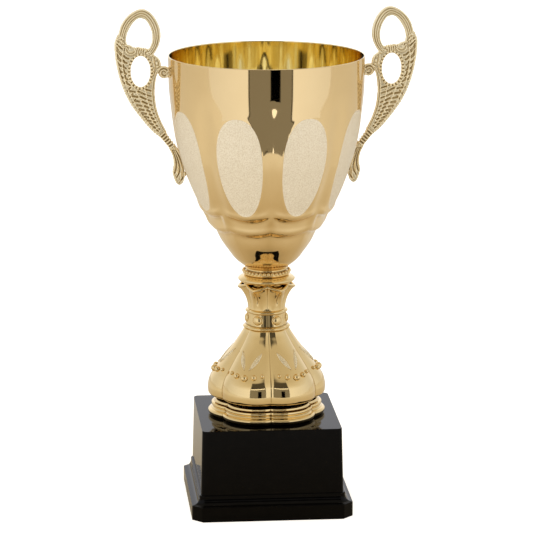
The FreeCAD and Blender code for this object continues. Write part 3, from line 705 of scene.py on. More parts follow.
def leaf(middle_turn, side):
    """One leaf of a V pair: a lens-shaped pad with a ridged face, lying on the bell."""
    along = np.linspace(0, 1, LEAF_ROWS)
    height = LEAF_FOOT + LEAF_RISE * along
    turn = middle_turn + side * (LEAF_TURN + LEAF_LEAN * along ** 1.1)
    half_width = LEAF_HALF_WIDTH * np.sin(np.pi * np.clip(along, 0.02, 0.98)) ** 0.7
    across = np.linspace(-1, 1, LEAF_COLUMNS)[None, :]
    slant_turn = across * half_width[:, None] * LEAF_SLANT / BELL_SHAPE(height)[:, None] * math.degrees(1)
    slant_rise = -across * half_width[:, None] * LEAF_SKEW * side
    row = np.arange(LEAF_ROWS)[:, None]
    ridges = RIDGE_HEIGHT * np.cos(row * 2 * math.pi / RIDGE_ROWS + 2.2 * np.abs(across))
    proud = (LEAF_PROUD + ridges) * (1 - np.abs(across) ** 2.4) - RIDGE_HEIGHT
    top, under = (on_bell(turn[:, None] + slant_turn * side, height[:, None] + slant_rise * side, rise)
                  for rise in (proud, -LEAF_ROOT))
    rings = np.concatenate([top, under[:, ::-1]], axis=1)
    return capped(rings)


def make_bell():
    """The swelling six-lobed bell with its leaf pairs and bead garlands."""
    parts = [lobed_shell(BELL_SHAPE, FOOT_HIGH, BELL_HIGH, 96, RISER_COLUMNS, lip=0.4, floor=9.0)]
    leaves = []
    for lobe in range(LOBES):
        middle = lobe * 360 / LOBES
        for side in (-1, 1):
            leaves.append(leaf(middle, side))
        for off, height, size in BELL_BEADS:
            parts.append(ball(on_bell(middle + off, height, 0.35), (size / 2,) * 3))
    new_piece("bell_leaves", *join(leaves), LEAF_GOLD, "gold_plated")
    plated("bell_moulding", parts, "bell", 5, 0.5)


def torus_bumps(heights, rings):
    """Radius added at each height by half-round rings, each (height, proud, half height)."""
    added = np.zeros_like(heights)
    for middle, proud, half in rings:
        added = np.maximum(added, proud * np.sqrt(np.clip(1 - ((heights - middle) / half) ** 2, 0, 1)))
    return added


def round_solid(heights, radii, columns=192, lobing=0.0, twist=0.0):
    """A turned piece, lobed if wanted, with the rod's hole through it."""
    def section(turns):
        """Radii and heights at each turn, up the outside and down the rod's hole."""
        table = stack(radii[:, None] * lobe_shape(turns - twist, lobing)[None, :], ROD_RADIUS, ROD_RADIUS)
        rows = np.concatenate([heights, heights[-1:], heights[:1]])
        return table, np.repeat(rows[:, None], len(turns), 1)

    return turned(section, columns)


STONE_REACH, STONE_HEIGHT, STONE_MIDDLE = (2.5, 3.9, 4.0), 155.2, 15.7
WAIST_RADII = (17.2, 15.4)
WAIST_RINGS = ((148.7, 2.5, 1.6), (162.0, 2.0, 1.4))


def make_band():
    """The waist band between its two rings, with a cabochon over each lobe."""
    heights = np.linspace(BELL_HIGH, BAND_HIGH, 60)
    radii = np.interp(heights, [BELL_HIGH, BAND_HIGH], WAIST_RADII) + torus_bumps(heights, WAIST_RINGS)
    parts = [round_solid(heights, radii, 288, 0.3, CROWN_TWIST)]
    for lobe in range(LOBES):
        turn = math.radians(lobe * 360 / LOBES + CROWN_TWIST)
        outward = np.array([math.cos(turn), math.sin(turn), 0])
        axes = np.array([outward, [-outward[1], outward[0], 0], [0, 0, 1]])
        middle = outward * STONE_MIDDLE + np.array([0, 0, STONE_HEIGHT])
        for points, faces in (ball((0, 0, 0), STONE_REACH, 28, 17), ring_of(4.4, 0.5, 36, 8)):
            parts.append((points @ axes + middle, faces))
    plated("waist_ring", parts, "waist_band", 4, 0.4)


def ring_of(radius, tube_radius, around, sides):
    """A plain ring in the YZ plane, its axis along X."""
    turn = np.arange(around)[:, None] * 2 * math.pi / around
    roll = np.arange(sides)[None, :] * 2 * math.pi / sides
    reach = radius + tube_radius * np.cos(roll)
    points = np.stack(np.broadcast_arrays(tube_radius * np.sin(roll), reach * np.cos(turn),
                                          reach * np.sin(turn)), axis=-1).reshape(-1, 3)
    return points, grid_faces(around, sides)


CROWN_WAIST = 15.4
RIM_HEIGHT, RIM_SCALLOP = 181.9, 3.0
RIM_REACH, RIM_NOTCH = 23.3, 3.6
DISH_HEIGHT = 183.6
PETAL_CREASE, PETAL_RIB, PETAL_VALLEY = 1.7, 0.35, 0.55
LIP_ANGLES = (-48, -24, 0, 24, 48, 76, 104, 132, 160)


def crown_section(turns):
    """Flaring petals: the outside, over the scalloped rim's bead and across the shallow dish inside."""
    off = np.abs(lobe_offset(turns - CROWN_TWIST)) / (180 / LOBES)
    rim_height = RIM_HEIGHT + RIM_SCALLOP * off ** 1.2
    rim_radius = RIM_REACH - RIM_NOTCH * off ** 1.1
    share = np.linspace(0, 1, 44)[:, None]
    crease = PETAL_CREASE * soft_ridge(off, 0, 0.12) * between(share, 0.2, 0.35, 0.88, 0.08)
    rib = PETAL_RIB * soft_ridge(off, 0.42, 0.16) * between(share, 0, 0.3, 0.75, 0.2)
    valley = PETAL_VALLEY * soft_ridge(off, 1, 0.08) * smooth(share, 0, 0.2)
    outside = CROWN_WAIST + (rim_radius - CROWN_WAIST) * share ** 2.2 - crease - valley + rib
    heights = BAND_HIGH + (rim_height - BAND_HIGH - 0.9) * share
    roll = np.radians(LIP_ANGLES)[:, None]
    lip_radii = rim_radius - 1.25 + 2.0 * np.cos(roll)
    lip_heights = rim_height + 1.35 * np.sin(roll)
    dish_radii = [rim_radius - 3.2, rim_radius * 0.5 + 7.6, 16.0]
    dish_heights = [rim_height - 0.2, rim_height * 0.4 + DISH_HEIGHT * 0.6, CROWN_HIGH]
    return (stack(outside, lip_radii, *dish_radii, ROD_RADIUS, ROD_RADIUS),
            stack(heights, lip_heights, *dish_heights, CROWN_HIGH, BAND_HIGH))


def make_crown():
    """The flaring crown whose petals reach up to the collar."""
    plated("crown_petals", [turned(crown_section, RISER_COLUMNS)], "crown", 6, 0.4)


COLLAR_RINGS = ((194.2, 2.5, 1.9), (197.8, 1.4, 1.1))
COLLAR_BEADS, COLLAR_BEAD_RADIUS = 36, 1.45
COLLAR_BEAD_REACH, COLLAR_BEAD_HEIGHT = 18.8, 195.3


def make_collar():
    """The fat collar ring with a row of beads and a thin top ring."""
    heights = np.linspace(CROWN_HIGH, COLLAR_HIGH, 90)
    shape = curve_through([(CROWN_HIGH, 20.0), (186.8, 21.8), (188.0, 23.1), (188.9, 23.5), (189.8, 23.0),
                           (191.2, 20.8), (191.9, 19.2), (192.3, 17.0), (196.4, 16.4), (COLLAR_HIGH, 15.4)])
    parts = [round_solid(heights, shape(heights) + torus_bumps(heights, COLLAR_RINGS))]
    for turn in np.arange(COLLAR_BEADS) * 2 * math.pi / COLLAR_BEADS:
        spot = (COLLAR_BEAD_REACH * math.cos(turn), COLLAR_BEAD_REACH * math.sin(turn), COLLAR_BEAD_HEIGHT)
        parts.append(ball(spot, (COLLAR_BEAD_RADIUS,) * 3))
    plated("collar_ring", parts, "collar", 4, 0.4)


# ---------------------------------------------------------------- the plinth

def square_ring(half, cut, roundness, steps=8):
    """A square outline with cut corners: straight cuts at roundness 0, quarter arcs at 1."""
    share = np.linspace(0, 1, steps + 1)
    straight = np.column_stack([1 - share, share])
    arc = np.column_stack([np.cos(share * math.pi / 2), np.sin(share * math.pi / 2)])
    corner = half - cut + cut * ((1 - roundness) * straight + roundness * arc)
    ring = [corner]
    for _ in range(3):
        ring.append(ring[-1] @ np.array([[0, 1], [-1, 0]]))
    return np.vstack(ring)


PLINTH_TOP, PLINTH_EDGE = 3, 0.45
FLANGE_TOP, FLANGE_CUT = 12.4, 8.5
COVE_HALF, COVE_REACH = 59.9, 5.1
COVE_LOW, COVE_RISE = 12.6, 6.2
BLOCK_HALF = 57.2


def make_plinth():
    """The hollow black plinth: chamfered flange, cavetto, block, and the hollow under its top."""
    low, high = box_mm("base_shell")
    flange, top = high[0], high[2]
    under = top - PLINTH_TOP
    bevel = [(PLINTH_EDGE * (1 - math.cos(angle)), PLINTH_EDGE * (1 - math.sin(angle)))
             for angle in np.linspace(0, math.pi / 2, 5)]
    # each loop: half its width, its height, its corner cut and how round the corner is
    loops = [(flange - inset, low[2] + rise, FLANGE_CUT, 0) for inset, rise in reversed(bevel)]
    loops += [(flange - inset, FLANGE_TOP - rise, FLANGE_CUT, 0) for inset, rise in bevel]
    loops += [(COVE_HALF + COVE_REACH, FLANGE_TOP, 8.3, 0)]
    for angle in np.linspace(0, math.pi / 2, 12):
        inward, upward = math.sin(angle), 1 - math.cos(angle)
        loops.append((COVE_HALF + COVE_REACH * (1 - inward), COVE_LOW + COVE_RISE * upward,
                      8.2 - 3.4 * inward, inward ** 2))
    loops += [(COVE_HALF, 20.2, 4.8, 1), (59.75, 20.5, 4.7, 1), (59.5, 20.6, 4.6, 1), (58.6, 20.6, 4.2, 1),
              (58.5, 20.8, 4.1, 1)]
    loops += [(BLOCK_HALF - inset, top - rise, 4, 1) for inset, rise in bevel]
    loops += [(40, top, 4, 1)]
    rings = [ring_at(*loop) for loop in loops]
    outward = np.arctan2(rings[-1][:, 1], rings[-1][:, 0])
    for reach, height in ((20, top), (ROD_RADIUS, top), (ROD_RADIUS, under), (20, under)):
        rings.append(np.column_stack([reach * np.cos(outward), reach * np.sin(outward),
                                      np.full(len(outward), height)]))
    for half, height, cut in ((54.7, under, 2.5), (55.9, 22, 2.6), (55.9, 9, 2.6), (58, 9, 3), (58, 2, 3),
                              (61, 2, 6.4), (61, low[2], 6.4)):
        rings.append(ring_at(half, height, cut, 0.5))
    plinth = new_piece("plinth_block", np.vstack(rings), grid_faces(len(rings), len(outward)), BLACK,
                       "black_gloss", ["base_shell"])
    plinth.modifiers.new("even_shading", "WEIGHTED_NORMAL").weight = 100


def ring_at(half, height, cut, roundness):
    """A square outline at a height."""
    flat = square_ring(half, cut, roundness)
    return np.column_stack([flat, np.full(len(flat), height)])


# ---------------------------------------------------------------- the cast handles

def run_near(places, line, reach):
    """The run of places that lie within reach of a line's extent."""
    hits = np.nonzero((places > line.min() - reach) & (places < line.max() + reach))[0]
    return slice(hits[0], hits[-1] + 1)


class Casting:
    """A flat two-sided casting: how far its skin stands out in Y over each point of an XZ sheet."""

    def __init__(self, low, high, step):
        """An empty sheet from a low to a high corner, with a point every step."""
        self.x, self.z = np.meshgrid(np.arange(low[0], high[0], step), np.arange(low[1], high[1], step),
                                     indexing="ij")
        self.thick = np.zeros_like(self.x)

    def near(self, points, reach):
        """The part of the sheet near a line, with each spot's offset across and share along it."""
        line, _ = route(points, 12 * len(points))
        window = (run_near(self.x[:, 0], line[:, 0], reach), run_near(self.z[0], line[:, 1], reach))
        x, z = self.x[window], self.z[window]
        best = np.full(x.shape, np.inf)
        across = np.zeros(x.shape)
        along = np.zeros(x.shape)
        done = 0.0
        for start, end in zip(line[:-1], line[1:]):
            step = end - start
            length = np.hypot(*step)
            share = np.clip(((x - start[0]) * step[0] + (z - start[1]) * step[1]) / length ** 2, 0, 1)
            off_x, off_z = x - start[0] - share * step[0], z - start[1] - share * step[1]
            far = np.hypot(off_x, off_z)
            side = np.sign(step[0] * (z - start[1]) - step[1] * (x - start[0]))
            closer = far < best
            best[closer] = far[closer]
            across[closer] = (far * side)[closer]
            along[closer] = (done + share * length)[closer]
            done += length
        return window, across, along / done

    def raise_to(self, window, height):
        """Lifts the skin to a height wherever it is lower."""
        self.thick[window] = np.maximum(self.thick[window], height)

    def bar(self, points, half_width, crown, base=0.0, ribs=0, groove=0.0, flat=2.0):
        """A rounded bar along a line, with grooves that run along it."""
        widest = np.max(half_width)
        window, across, along = self.near(points, widest + 1)
        width = np.interp(along, np.linspace(0, 1, np.size(half_width)), np.atleast_1d(half_width))
        height = np.interp(along, np.linspace(0, 1, np.size(crown)), np.atleast_1d(crown))
        share = across / width
        inside = np.abs(share) < 1
        dome = np.clip(1 - np.abs(share) ** flat, 0, 1) ** (1 / flat)
        if ribs:
            dome = dome * (1 - groove * (0.5 + 0.5 * np.cos(math.pi * (share + 1) * ribs)))
        self.raise_to(window, np.where(inside, base + height * dome, 0))

    def dot(self, spot, radius, crown, base=0.0):
        """A bead, round or with its own reach along X and Z."""
        reach = np.broadcast_to(radius, 2)
        far = np.hypot((self.x - spot[0]) / reach[0], (self.z - spot[1]) / reach[1])
        dome = np.sqrt(np.clip(1 - far ** 2, 0, 1))
        self.raise_to(..., np.where(far < 1, base + crown * dome, 0))

    def sink(self, points, radius, floor, soft=0.5):
        """A slot pressed down to a floor, its walls soft over some millimetres."""
        window, across, _ = self.near(points, radius + soft)
        wall = smooth(np.abs(across), radius, soft)
        here = self.thick[window]
        self.thick[window] = np.where(here > floor, floor + (here - floor) * wall, here)

    def fill(self, left, right, thick):
        """A flat web between two lines that run the same way."""
        first, _ = route(left, 120)
        second, _ = route(right, 120)
        outline = np.vstack([first, second[::-1]])
        inside = np.zeros(self.x.shape, bool)
        for (x0, z0), (x1, z1) in zip(outline, np.roll(outline, -1, axis=0)):
            if z0 == z1:
                continue
            crosses = (z0 > self.z) != (z1 > self.z)
            inside ^= crosses & (self.x < (x1 - x0) * (self.z - z0) / (z1 - z0) + x0)
        self.raise_to(..., np.where(inside, thick, 0))

    def pierce(self, middle, half_x, half_z):
        """An oval window right through."""
        far = np.hypot((self.x - middle[0]) / half_x, (self.z - middle[1]) / half_z)
        self.thick[far < 1] = 0

    def body(self):
        """The closed mesh: two mirrored skins stitched along every edge."""
        solid = self.thick > EDGE_THICKNESS
        cell = solid[:-1, :-1] & solid[1:, :-1] & solid[:-1, 1:] & solid[1:, 1:]
        cell = fill_pinches(cell)
        used = np.zeros(solid.shape, bool)
        for i, j in ((0, 0), (1, 0), (0, 1), (1, 1)):
            used[i:used.shape[0] - 1 + i, j:used.shape[1] - 1 + j] |= cell
        number = np.cumsum(used.ravel()).reshape(used.shape) - 1
        count = int(used.sum())
        height = np.maximum(self.thick[used], EDGE_THICKNESS)
        flat = np.column_stack([self.x[used], np.zeros(count), self.z[used]])
        lift = np.column_stack([np.zeros(count), height, np.zeros(count)])
        i, j = np.nonzero(cell)
        front = np.column_stack([number[i, j], number[i + 1, j], number[i + 1, j + 1], number[i, j + 1]])
        walls = edge_pairs(front)
        flat = even_outline(flat, walls)
        start, end = walls.T
        sides = np.column_stack([end, start, start + count, end + count])
        return np.vstack([flat - lift, flat + lift]), np.vstack([front, front[:, ::-1] + count, sides])


def fill_pinches(cell):
    """Fills cells so that no two meet at a corner only."""
    for _ in range(4):
        a, b, c, d = cell[:-1, :-1], cell[1:, :-1], cell[:-1, 1:], cell[1:, 1:]
        pinch = (a & d & ~b & ~c) | (b & c & ~a & ~d)
        if not pinch.any():
            return cell
        cell = cell.copy()
        i, j = np.nonzero(pinch)
        cell[i, j] = True
        cell[i + 1, j] = True
        cell[i, j + 1] = True
        cell[i + 1, j + 1] = True
    return cell


def edge_pairs(faces):
    """Directed edges that only one face has."""
    edges = np.vstack([np.column_stack([faces[:, k], faces[:, (k + 1) % 4]]) for k in range(4)])
    size = int(edges.max()) + 1
    forward = edges[:, 0] * size + edges[:, 1]
    backward = edges[:, 1] * size + edges[:, 0]
    return edges[~np.isin(forward, backward)]


def even_outline(points, edges, passes=6):
    """Smooths the steps out of an outline."""
    rim = np.unique(edges)
    for _ in range(passes):
        points[rim] = 0.5 * points[rim] + 0.5 * neighbour_mean(points, edges)[rim]
    return points


EDGE_THICKNESS = 0.22
HANDLE_STEP = 0.3
HANDLE_SHEET = ((-125, 266), (-64, 414))
OVAL = (-102.2, 361.7)
BEAD_COUNT = 25
OUTER_EDGE = [(-122.0, 382), (-121.6, 372), (-119.2, 359.5), (-115.0, 346.5), (-109.7, 335.6),
              (-103.9, 327.2), (-98.1, 319.8), (-92.2, 313.2), (-86.0, 308)]
INNER_EDGE = [(-92.0, 377), (-90.8, 368), (-91.6, 360), (-92.6, 351), (-93.2, 341), (-92.0, 331),
              (-88.5, 321), (-83.6, 312.4)]
KNOB_EDGE = [(-118.4, 391.6), (-121.0, 388.8), (-122.2, 384.8), (-122.2, 379.6), (-121.6, 372)]
KNOB_INSIDE = [(-113.8, 391.5), (-114.3, 387.6), (-113.9, 384.8), (-112.8, 382.6), (-111.6, 376)]
OUTER_SLOTS = (((-121.1, 386.3), (-115.3, 379.7)), ((-121.4, 381.3), (-117.3, 375.5)),
               ((-121.2, 375.9), (-118.1, 370.9)), ((-121.2, 369.9), (-118.1, 366.6)),
               ((-119.8, 364.8), (-117.5, 361.5)), ((-118.8, 360.5), (-116.6, 356.8)),
               ((-117.2, 355.3), (-115.2, 352.4)))
SECOND_SLOTS = (((-115.4, 374.6), (-111.8, 372.4)), ((-115.8, 371.0), (-113.3, 368.8)),
                ((-116.0, 367.0), (-114.0, 364.4)), ((-115.7, 363.3), (-113.9, 360.0)),
                ((-114.8, 358.6), (-112.7, 355.3)), ((-113.6, 353.8), (-110.9, 350.9)))
SECOND_RIB = [(-116.4, 383.6), (-115.9, 380.4), (-116.4, 377), (-117.2, 373.4), (-117.1, 370),
              (-116.6, 363.7), (-115.0, 355), (-112.6, 347.2), (-109.4, 340.6), (-105.3, 332.1),
              (-100.4, 324.4),
              (-94.5, 317.3), (-87.0, 309.8)]
THIRD_RIB = [(-111.6, 353.1), (-109.1, 350.1), (-106.4, 346.6), (-104.3, 342.4), (-102.6, 338.0),
             (-100.2, 333.0), (-97.2, 328.0), (-93.6, 321.8), (-90.0, 316.4), (-85.4, 310.8)]
FOURTH_RIB = [(-99.2, 348.4), (-98.0, 344.5), (-97.1, 339.0), (-95.6, 334.2), (-93.8, 329.4),
              (-91.6, 324.4), (-88.4, 318.2), (-84.8, 312)]
SLOT_FLOOR, WEB_DEPTH = 0.8, 2.3
# each ladder: its two lines, slots, tilt, floor, slots' half width, where it begins and finishes
LADDERS = ((OUTER_EDGE[3:], SECOND_RIB[6:], 9, 0.75, 0.9, 0.42, 0.04, 0.86),
           (SECOND_RIB[7:], THIRD_RIB[1:], 11, 0.55, SLOT_FLOOR, 0.55, 0.02, 0.95),
           (THIRD_RIB[2:], FOURTH_RIB, 10, 0.55, SLOT_FLOOR, 0.5, 0.02, 0.95),
           (FOURTH_RIB, INNER_EDGE[3:], 8, 0.5, 0.9, 0.4, 0.02, 0.8))


def add_loop(casting):
    """The reeded teardrop loop at the top."""
    middle = [(-118.2, 385), (-116.7, 391), (-114.6, 397.6), (-110.9, 403.5), (-106, 407.4),
              (-100.8, 409.0), (-96.2, 406.8), (-92.3, 401.5), (-90.0, 395.5), (-89.4, 389.5),
              (-90.3, 384.2), (-92.6, 379.5), (-95.6, 376)]
    casting.bar(middle, (2.6, 3.2, 3.5, 3.7, 3.6, 3.2, 2.6), 3.3, ribs=4, groove=0.32, flat=2.6)
    outer = [(-121.4, 385), (-119.3, 391.6), (-116.9, 399.2), (-112.9, 405.1), (-106.8, 409.6),
             (-100.4, 411.7), (-95.2, 409.6), (-90.6, 404.6), (-87.4, 397.9), (-86.5, 391), (-87.5, 384.6),
             (-90.3, 378.6), (-93.2, 374.6)]
    casting.bar(outer, 0.95, 3.0)
    inner = [(-113.4, 384.0), (-114.2, 388.5), (-112.9, 394), (-110.0, 399.6), (-106.2, 403.8),
             (-102.4, 405.5), (-98.6, 404.3), (-96.6, 402.4)]
    casting.bar(inner, (0.7, 0.9, 0.9, 1.1, 1.0, 0.8, 0.6, 0.4), 2.7)


def add_knob(casting):
    """The knot at the outer shoulder, wrapped with slanted cords."""
    for start, bend, end in (((-120.9, 390.9), (-118.6, 390.6), (-115.4, 387.8)),
                             ((-121.2, 388.6), (-118.9, 387.6), (-115.6, 384.6)),
                             ((-121.6, 386.2), (-119.4, 384.6), (-116.6, 381.6))):
        casting.bar([start, bend, end], (0.8, 1.0, 0.7), 3.7)
    casting.dot((-118.6, 389.4), (2.0, 1.5), 4.0)


LADDER_SPOTS = 200


def add_ladder(casting, first, second, count, tilt, floor, radius, begin, finish):
    """Slanted dark slots between two ribs, closer together where the ribs come together."""
    left, _ = route(first, LADDER_SPOTS)
    right, _ = route(second, LADDER_SPOTS)
    for k in range(count):
        share = begin + (finish - begin) * ((k + 0.5) / count) ** 0.88
        spot = int(share * (LADDER_SPOTS - 1))
        wide = math.hypot(*(right[spot] - left[spot]))
        across = (right[spot] - left[spot]) / wide
        lean = np.array([across[1], -across[0]]) * wide * tilt
        inset = across * wide * min(0.36, (radius + 0.75) / wide)
        start = left[spot] + inset - lean * 0.5
        end = right[spot] - inset + lean * 0.5
        casting.sink([start, (start + end) / 2, end], radius * min(1.0, wide / 3.2), floor)


def add_slots(casting, slots, floor, widest, narrowest):
    """Bowed dark slots, wide at the first and narrower towards the last."""
    for (start, end), radius in zip(slots, np.linspace(widest, narrowest, len(slots))):
        middle = ((start[0] + end[0]) / 2 - 0.4, (start[1] + end[1]) / 2 - 0.4)
        casting.sink([start, middle, end], radius, floor, 0.4)


def add_web(casting):
    """The pierced-looking basket work between the outer rope and the inner rail."""
    casting.fill(OUTER_EDGE, INNER_EDGE, WEB_DEPTH)
    casting.fill(KNOB_EDGE, KNOB_INSIDE, WEB_DEPTH)
    add_slots(casting, OUTER_SLOTS, SLOT_FLOOR, 0.95, 0.5)
    add_slots(casting, SECOND_SLOTS, SLOT_FLOOR, 0.6, 0.5)
    for ladder in LADDERS:
        add_ladder(casting, *ladder)
    for rib, width in ((SECOND_RIB, 0.6), (THIRD_RIB, 0.5), (FOURTH_RIB, 0.45)):
        casting.bar(rib, width, (3.0, 2.8, 2.6))
    casting.bar(KNOB_EDGE, 1.1, 2.7)
    add_rope(casting, OUTER_EDGE[1:], 1.15, 30)


STRAND_REACH = 0.9


def add_rope(casting, line, radius, turns):
    """A rounded edge that turns into a twisted rope towards its lower end."""
    casting.bar(line, radius, (2.6, 2.5, 2.1))
    spots, along = route(line, turns)
    for k in range(turns // 4, turns):
        step = along[k] / np.hypot(*along[k])
        strand = (np.array([-step[1], step[0]]) - step) * STRAND_REACH
        casting.bar([spots[k] + strand, spots[k], spots[k] - strand], 0.55, 2.75)


def oval_line(reach_x, reach_z, count):
    """Evenly spaced points round the oval window."""
    turns = np.linspace(0, 2 * math.pi, 37)
    ring = [(OVAL[0] + reach_x * math.cos(turn), OVAL[1] + reach_z * math.sin(turn)) for turn in turns]
    return route(ring, count)[0]


def add_oval(casting):
    """The oval window inside its ring of beads."""
    casting.pierce(OVAL, 7.75, 12.45)
    casting.bar(oval_line(9.4, 14.1, 37), 1.7, 1.9, flat=3)
    inner, outer = (oval_line(*reach, 2 * BEAD_COUNT + 1) for reach in ((8.1, 12.8), (9.6, 14.3)))
    for near, far in zip(inner[1::2], outer[1::2]):
        casting.sink([near, (near + far) / 2, far], 0.35, 0.7, 0.3)
    for bead in oval_line(9.1, 13.85, BEAD_COUNT + 1)[:-1]:
        casting.dot(bead, 1.2, 1.9, 1.6)


# each cord of the shell: its line, half width and height
CREST_BARS = (
    ([(-114.4, 383.6), (-112.6, 383.0), (-110.2, 382.4), (-107.8, 380.8), (-106.6, 378.8)], 0.85, 3.4),
    ([(-114.4, 380.0), (-113.7, 377.6), (-111.4, 376.0), (-108.2, 376.2), (-105.8, 378.0)], 0.8, 3.2),
    ([(-113.4, 381.4), (-111.6, 379.2), (-110.2, 378.4)], 0.7, 3.3),
    ([(-111.6, 382.0), (-110.2, 380.2), (-109.2, 379.4)], 0.6, 3.5))


def add_crest(casting):
    """The shell, the feathers and the small beads where the loop meets the oval."""
    casting.fill([(-115, 382), (-113, 377), (-108, 374.4)],
                 [(-106, 381.6), (-104.4, 377), (-103, 374)], 1.9)
    casting.fill([(-106, 381), (-104.6, 378), (-102, 374.4)],
                 [(-94, 380), (-93.6, 377.5), (-94.4, 374)], 1.9)
    casting.dot((-109.6, 379.4), (3.4, 2.9), 2.2, 1.2)
    for line, half_width, crown in CREST_BARS:
        casting.bar(line, half_width, crown)
    for k in range(5):
        top = (-104.9 + 1.75 * k, 381.6 - 0.35 * abs(k - 1))
        foot = (-106.2 + 1.75 * k, 377.0 - 0.3 * k)
        middle = ((top[0] + foot[0]) / 2 - 0.35, (top[1] + foot[1]) / 2 + 0.3)
        casting.bar([foot, middle, top], (0.5, 0.85, 0.7), 3.2)
    for spot in ((-97.8, 378.6), (-95.6, 379.4), (-96.4, 376.9), (-94.2, 377.3), (-93.4, 375.0)):
        casting.dot(spot, 1.0, 1.3, 2.0)


def add_leaf(casting):
    """The curled leaf that stands off the inner edge between the loop and the scroll."""
    casting.fill([(-93.6, 376.4), (-92.6, 370), (-92.4, 364)],
                 [(-90.4, 375), (-86.4, 369.5), (-86.0, 365.2)], 1.9)
    casting.fill([(-92.6, 367), (-92.4, 362), (-92.2, 357)],
                 [(-85.8, 367), (-87.4, 363.8), (-90.2, 359)], 1.7)
    casting.bar([(-91.6, 374.6), (-88.4, 372.4), (-86.8, 369.4), (-86.3, 366.4)], (0.6, 1.0, 0.9), 2.9)
    casting.bar([(-92.4, 373.0), (-91.8, 369.0), (-90.6, 365.4)], (0.5, 0.8, 0.6), 2.8)
    casting.dot((-88.9, 368.4), (1.7, 2.2), 2.6)
    casting.dot((-89.8, 371.8), (1.2, 1.4), 2.8)
    casting.dot((-88.4, 365.6), (1.5, 1.1), 2.8)


COIL = (-83.2, 360.6)
COIL_REACH, COIL_SHRINK = 5.0, 3.9
COIL_START, COIL_TURN = 2.5, 10.4


def add_scroll(casting):
    """The scroll by the cup, its double rail and the pad that bears on the wall."""
    rail = [(-84.6, 365.4), (-87.6, 363.2), (-89.8, 359.4), (-91.2, 354.6), (-92.0, 349.4), (-92.3, 344),
            (-91.9, 338.6), (-91.2, 333.2), (-89.8, 327.7), (-87.6, 321.6), (-84.9, 316), (-82.6, 312)]
    casting.bar(rail, (1.0, 1.4, 1.7, 1.7, 1.6, 1.5, 1.3), 2.9, ribs=2, groove=0.45, flat=2.6)
    casting.dot(COIL, COIL_REACH, 1.0, 1.0)
    coil = []
    for share in np.linspace(0, 1, 26):
        reach, turn = COIL_REACH - COIL_SHRINK * share, COIL_START - COIL_TURN * share
        coil.append((COIL[0] + reach * math.cos(turn), COIL[1] + reach * math.sin(turn)))
    casting.bar(coil, (0.95, 0.9, 0.8), 3.0)
    casting.dot(COIL, 1.0, 3.0)
    wall = CUP_SHAPE(359.5)
    foot_high = [(-81.6, 362.6), (-80.6, 361.8), (-wall - 0.2, 362.8)]
    foot_low = [(-81.6, 357.6), (-80.4, 358.2), (-wall - 0.2, 356.4)]
    casting.fill(foot_high, foot_low, 2.6)
    casting.dot((-wall - 0.6, 357.6), (1.2, 1.5), 3.4)
    casting.dot((-wall - 0.5, 361.6), (1.0, 1.4), 3.2)


WRAP_STEPS = 11


def add_wraps(casting):
    """Six bindings across the neck, a dark groove between each two, knuckled on the inner side."""
    casting.fill([(-87.4, 308.6), (-83.6, 303.6), (-79.6, 298.4)],
                 [(-82.4, 312.2), (-79.4, 307.2), (-75.6, 301.4)], 2.4)
    for k in range(WRAP_STEPS):
        share = k / (WRAP_STEPS - 1)
        outer = np.array((-87.0 + 8.0 * share, 308.4 - 9.6 * share))
        inner = np.array((-82.8 + 7.6 * share, 312.2 - 10.6 * share))
        middle = (outer + inner) / 2
        if k % 2:
            casting.sink([outer * 0.86 + inner * 0.14, middle, outer * 0.2 + inner * 0.8], 0.3, 0.9, 0.35)
        else:
            casting.bar([outer, middle, inner], 0.85, (3.0, 3.5, 3.2))
            casting.dot(outer * 0.12 + inner * 0.88, (1.15, 0.95), 3.9)


TAIL_GROOVES = (
    [(-76.9, 297.0), (-74.9, 291.9), (-73.9, 287.6), (-73.9, 282.6), (-75.2, 277.9)],
    [(-75.7, 296.9), (-73.2, 291.0), (-71.6, 285.5), (-71.0, 280.0), (-73.5, 274.3)],
    [(-74.4, 296.9), (-71.1, 291.0), (-69.1, 285.0), (-68.0, 279.9), (-68.6, 274.2), (-71.3, 270.6)])


def add_tail(casting):
    """The fluted spoon that lies against the cup."""
    left = [(-79.4, 298.8), (-76.4, 292.8), (-75.3, 285.8), (-76.1, 280.8), (-76.2, 277.8), (-75.4, 274.4),
            (-74.3, 271.4), (-73.3, 269.6), (-71.7, 268.5)]
    right = [(-75.4, 301.2), (-71.9, 295.5), (-70.1, 289.4), (-68.3, 282.4), (-67.4, 276.8), (-67.8, 273.8),
             (-68.6, 271.2), (-69.5, 269.6), (-71.1, 268.5)]
    casting.fill(left, right, 2.6)
    for line in (left, right):
        casting.bar(line, 0.85, (2.8, 3.1, 3.1, 2.8))
    for share, height in ((0.36, 3.5), (0.68, 3.4)):
        reed = [tuple(np.array(a) * (1 - share) + np.array(b) * share) for a, b in zip(left, right)]
        casting.bar(reed[:-1], (0.7, 0.8, 0.95, 0.9, 0.6), (3.2, height, 3.3, 2.8))
    for groove in TAIL_GROOVES:
        casting.sink(groove, 0.22, 1.0, 0.5)
    casting.dot((-71.4, 271.6), (1.5, 1.9), 3.0)
    wall = CUP_SHAPE(277.5)
    casting.fill([(-69.6, 280.4), (-68.4, 278.4), (-wall - 0.6, 279.0)],
                 [(-69.6, 274.0), (-68.0, 275.4), (-wall + 1.4, 275.0)], 2.2)


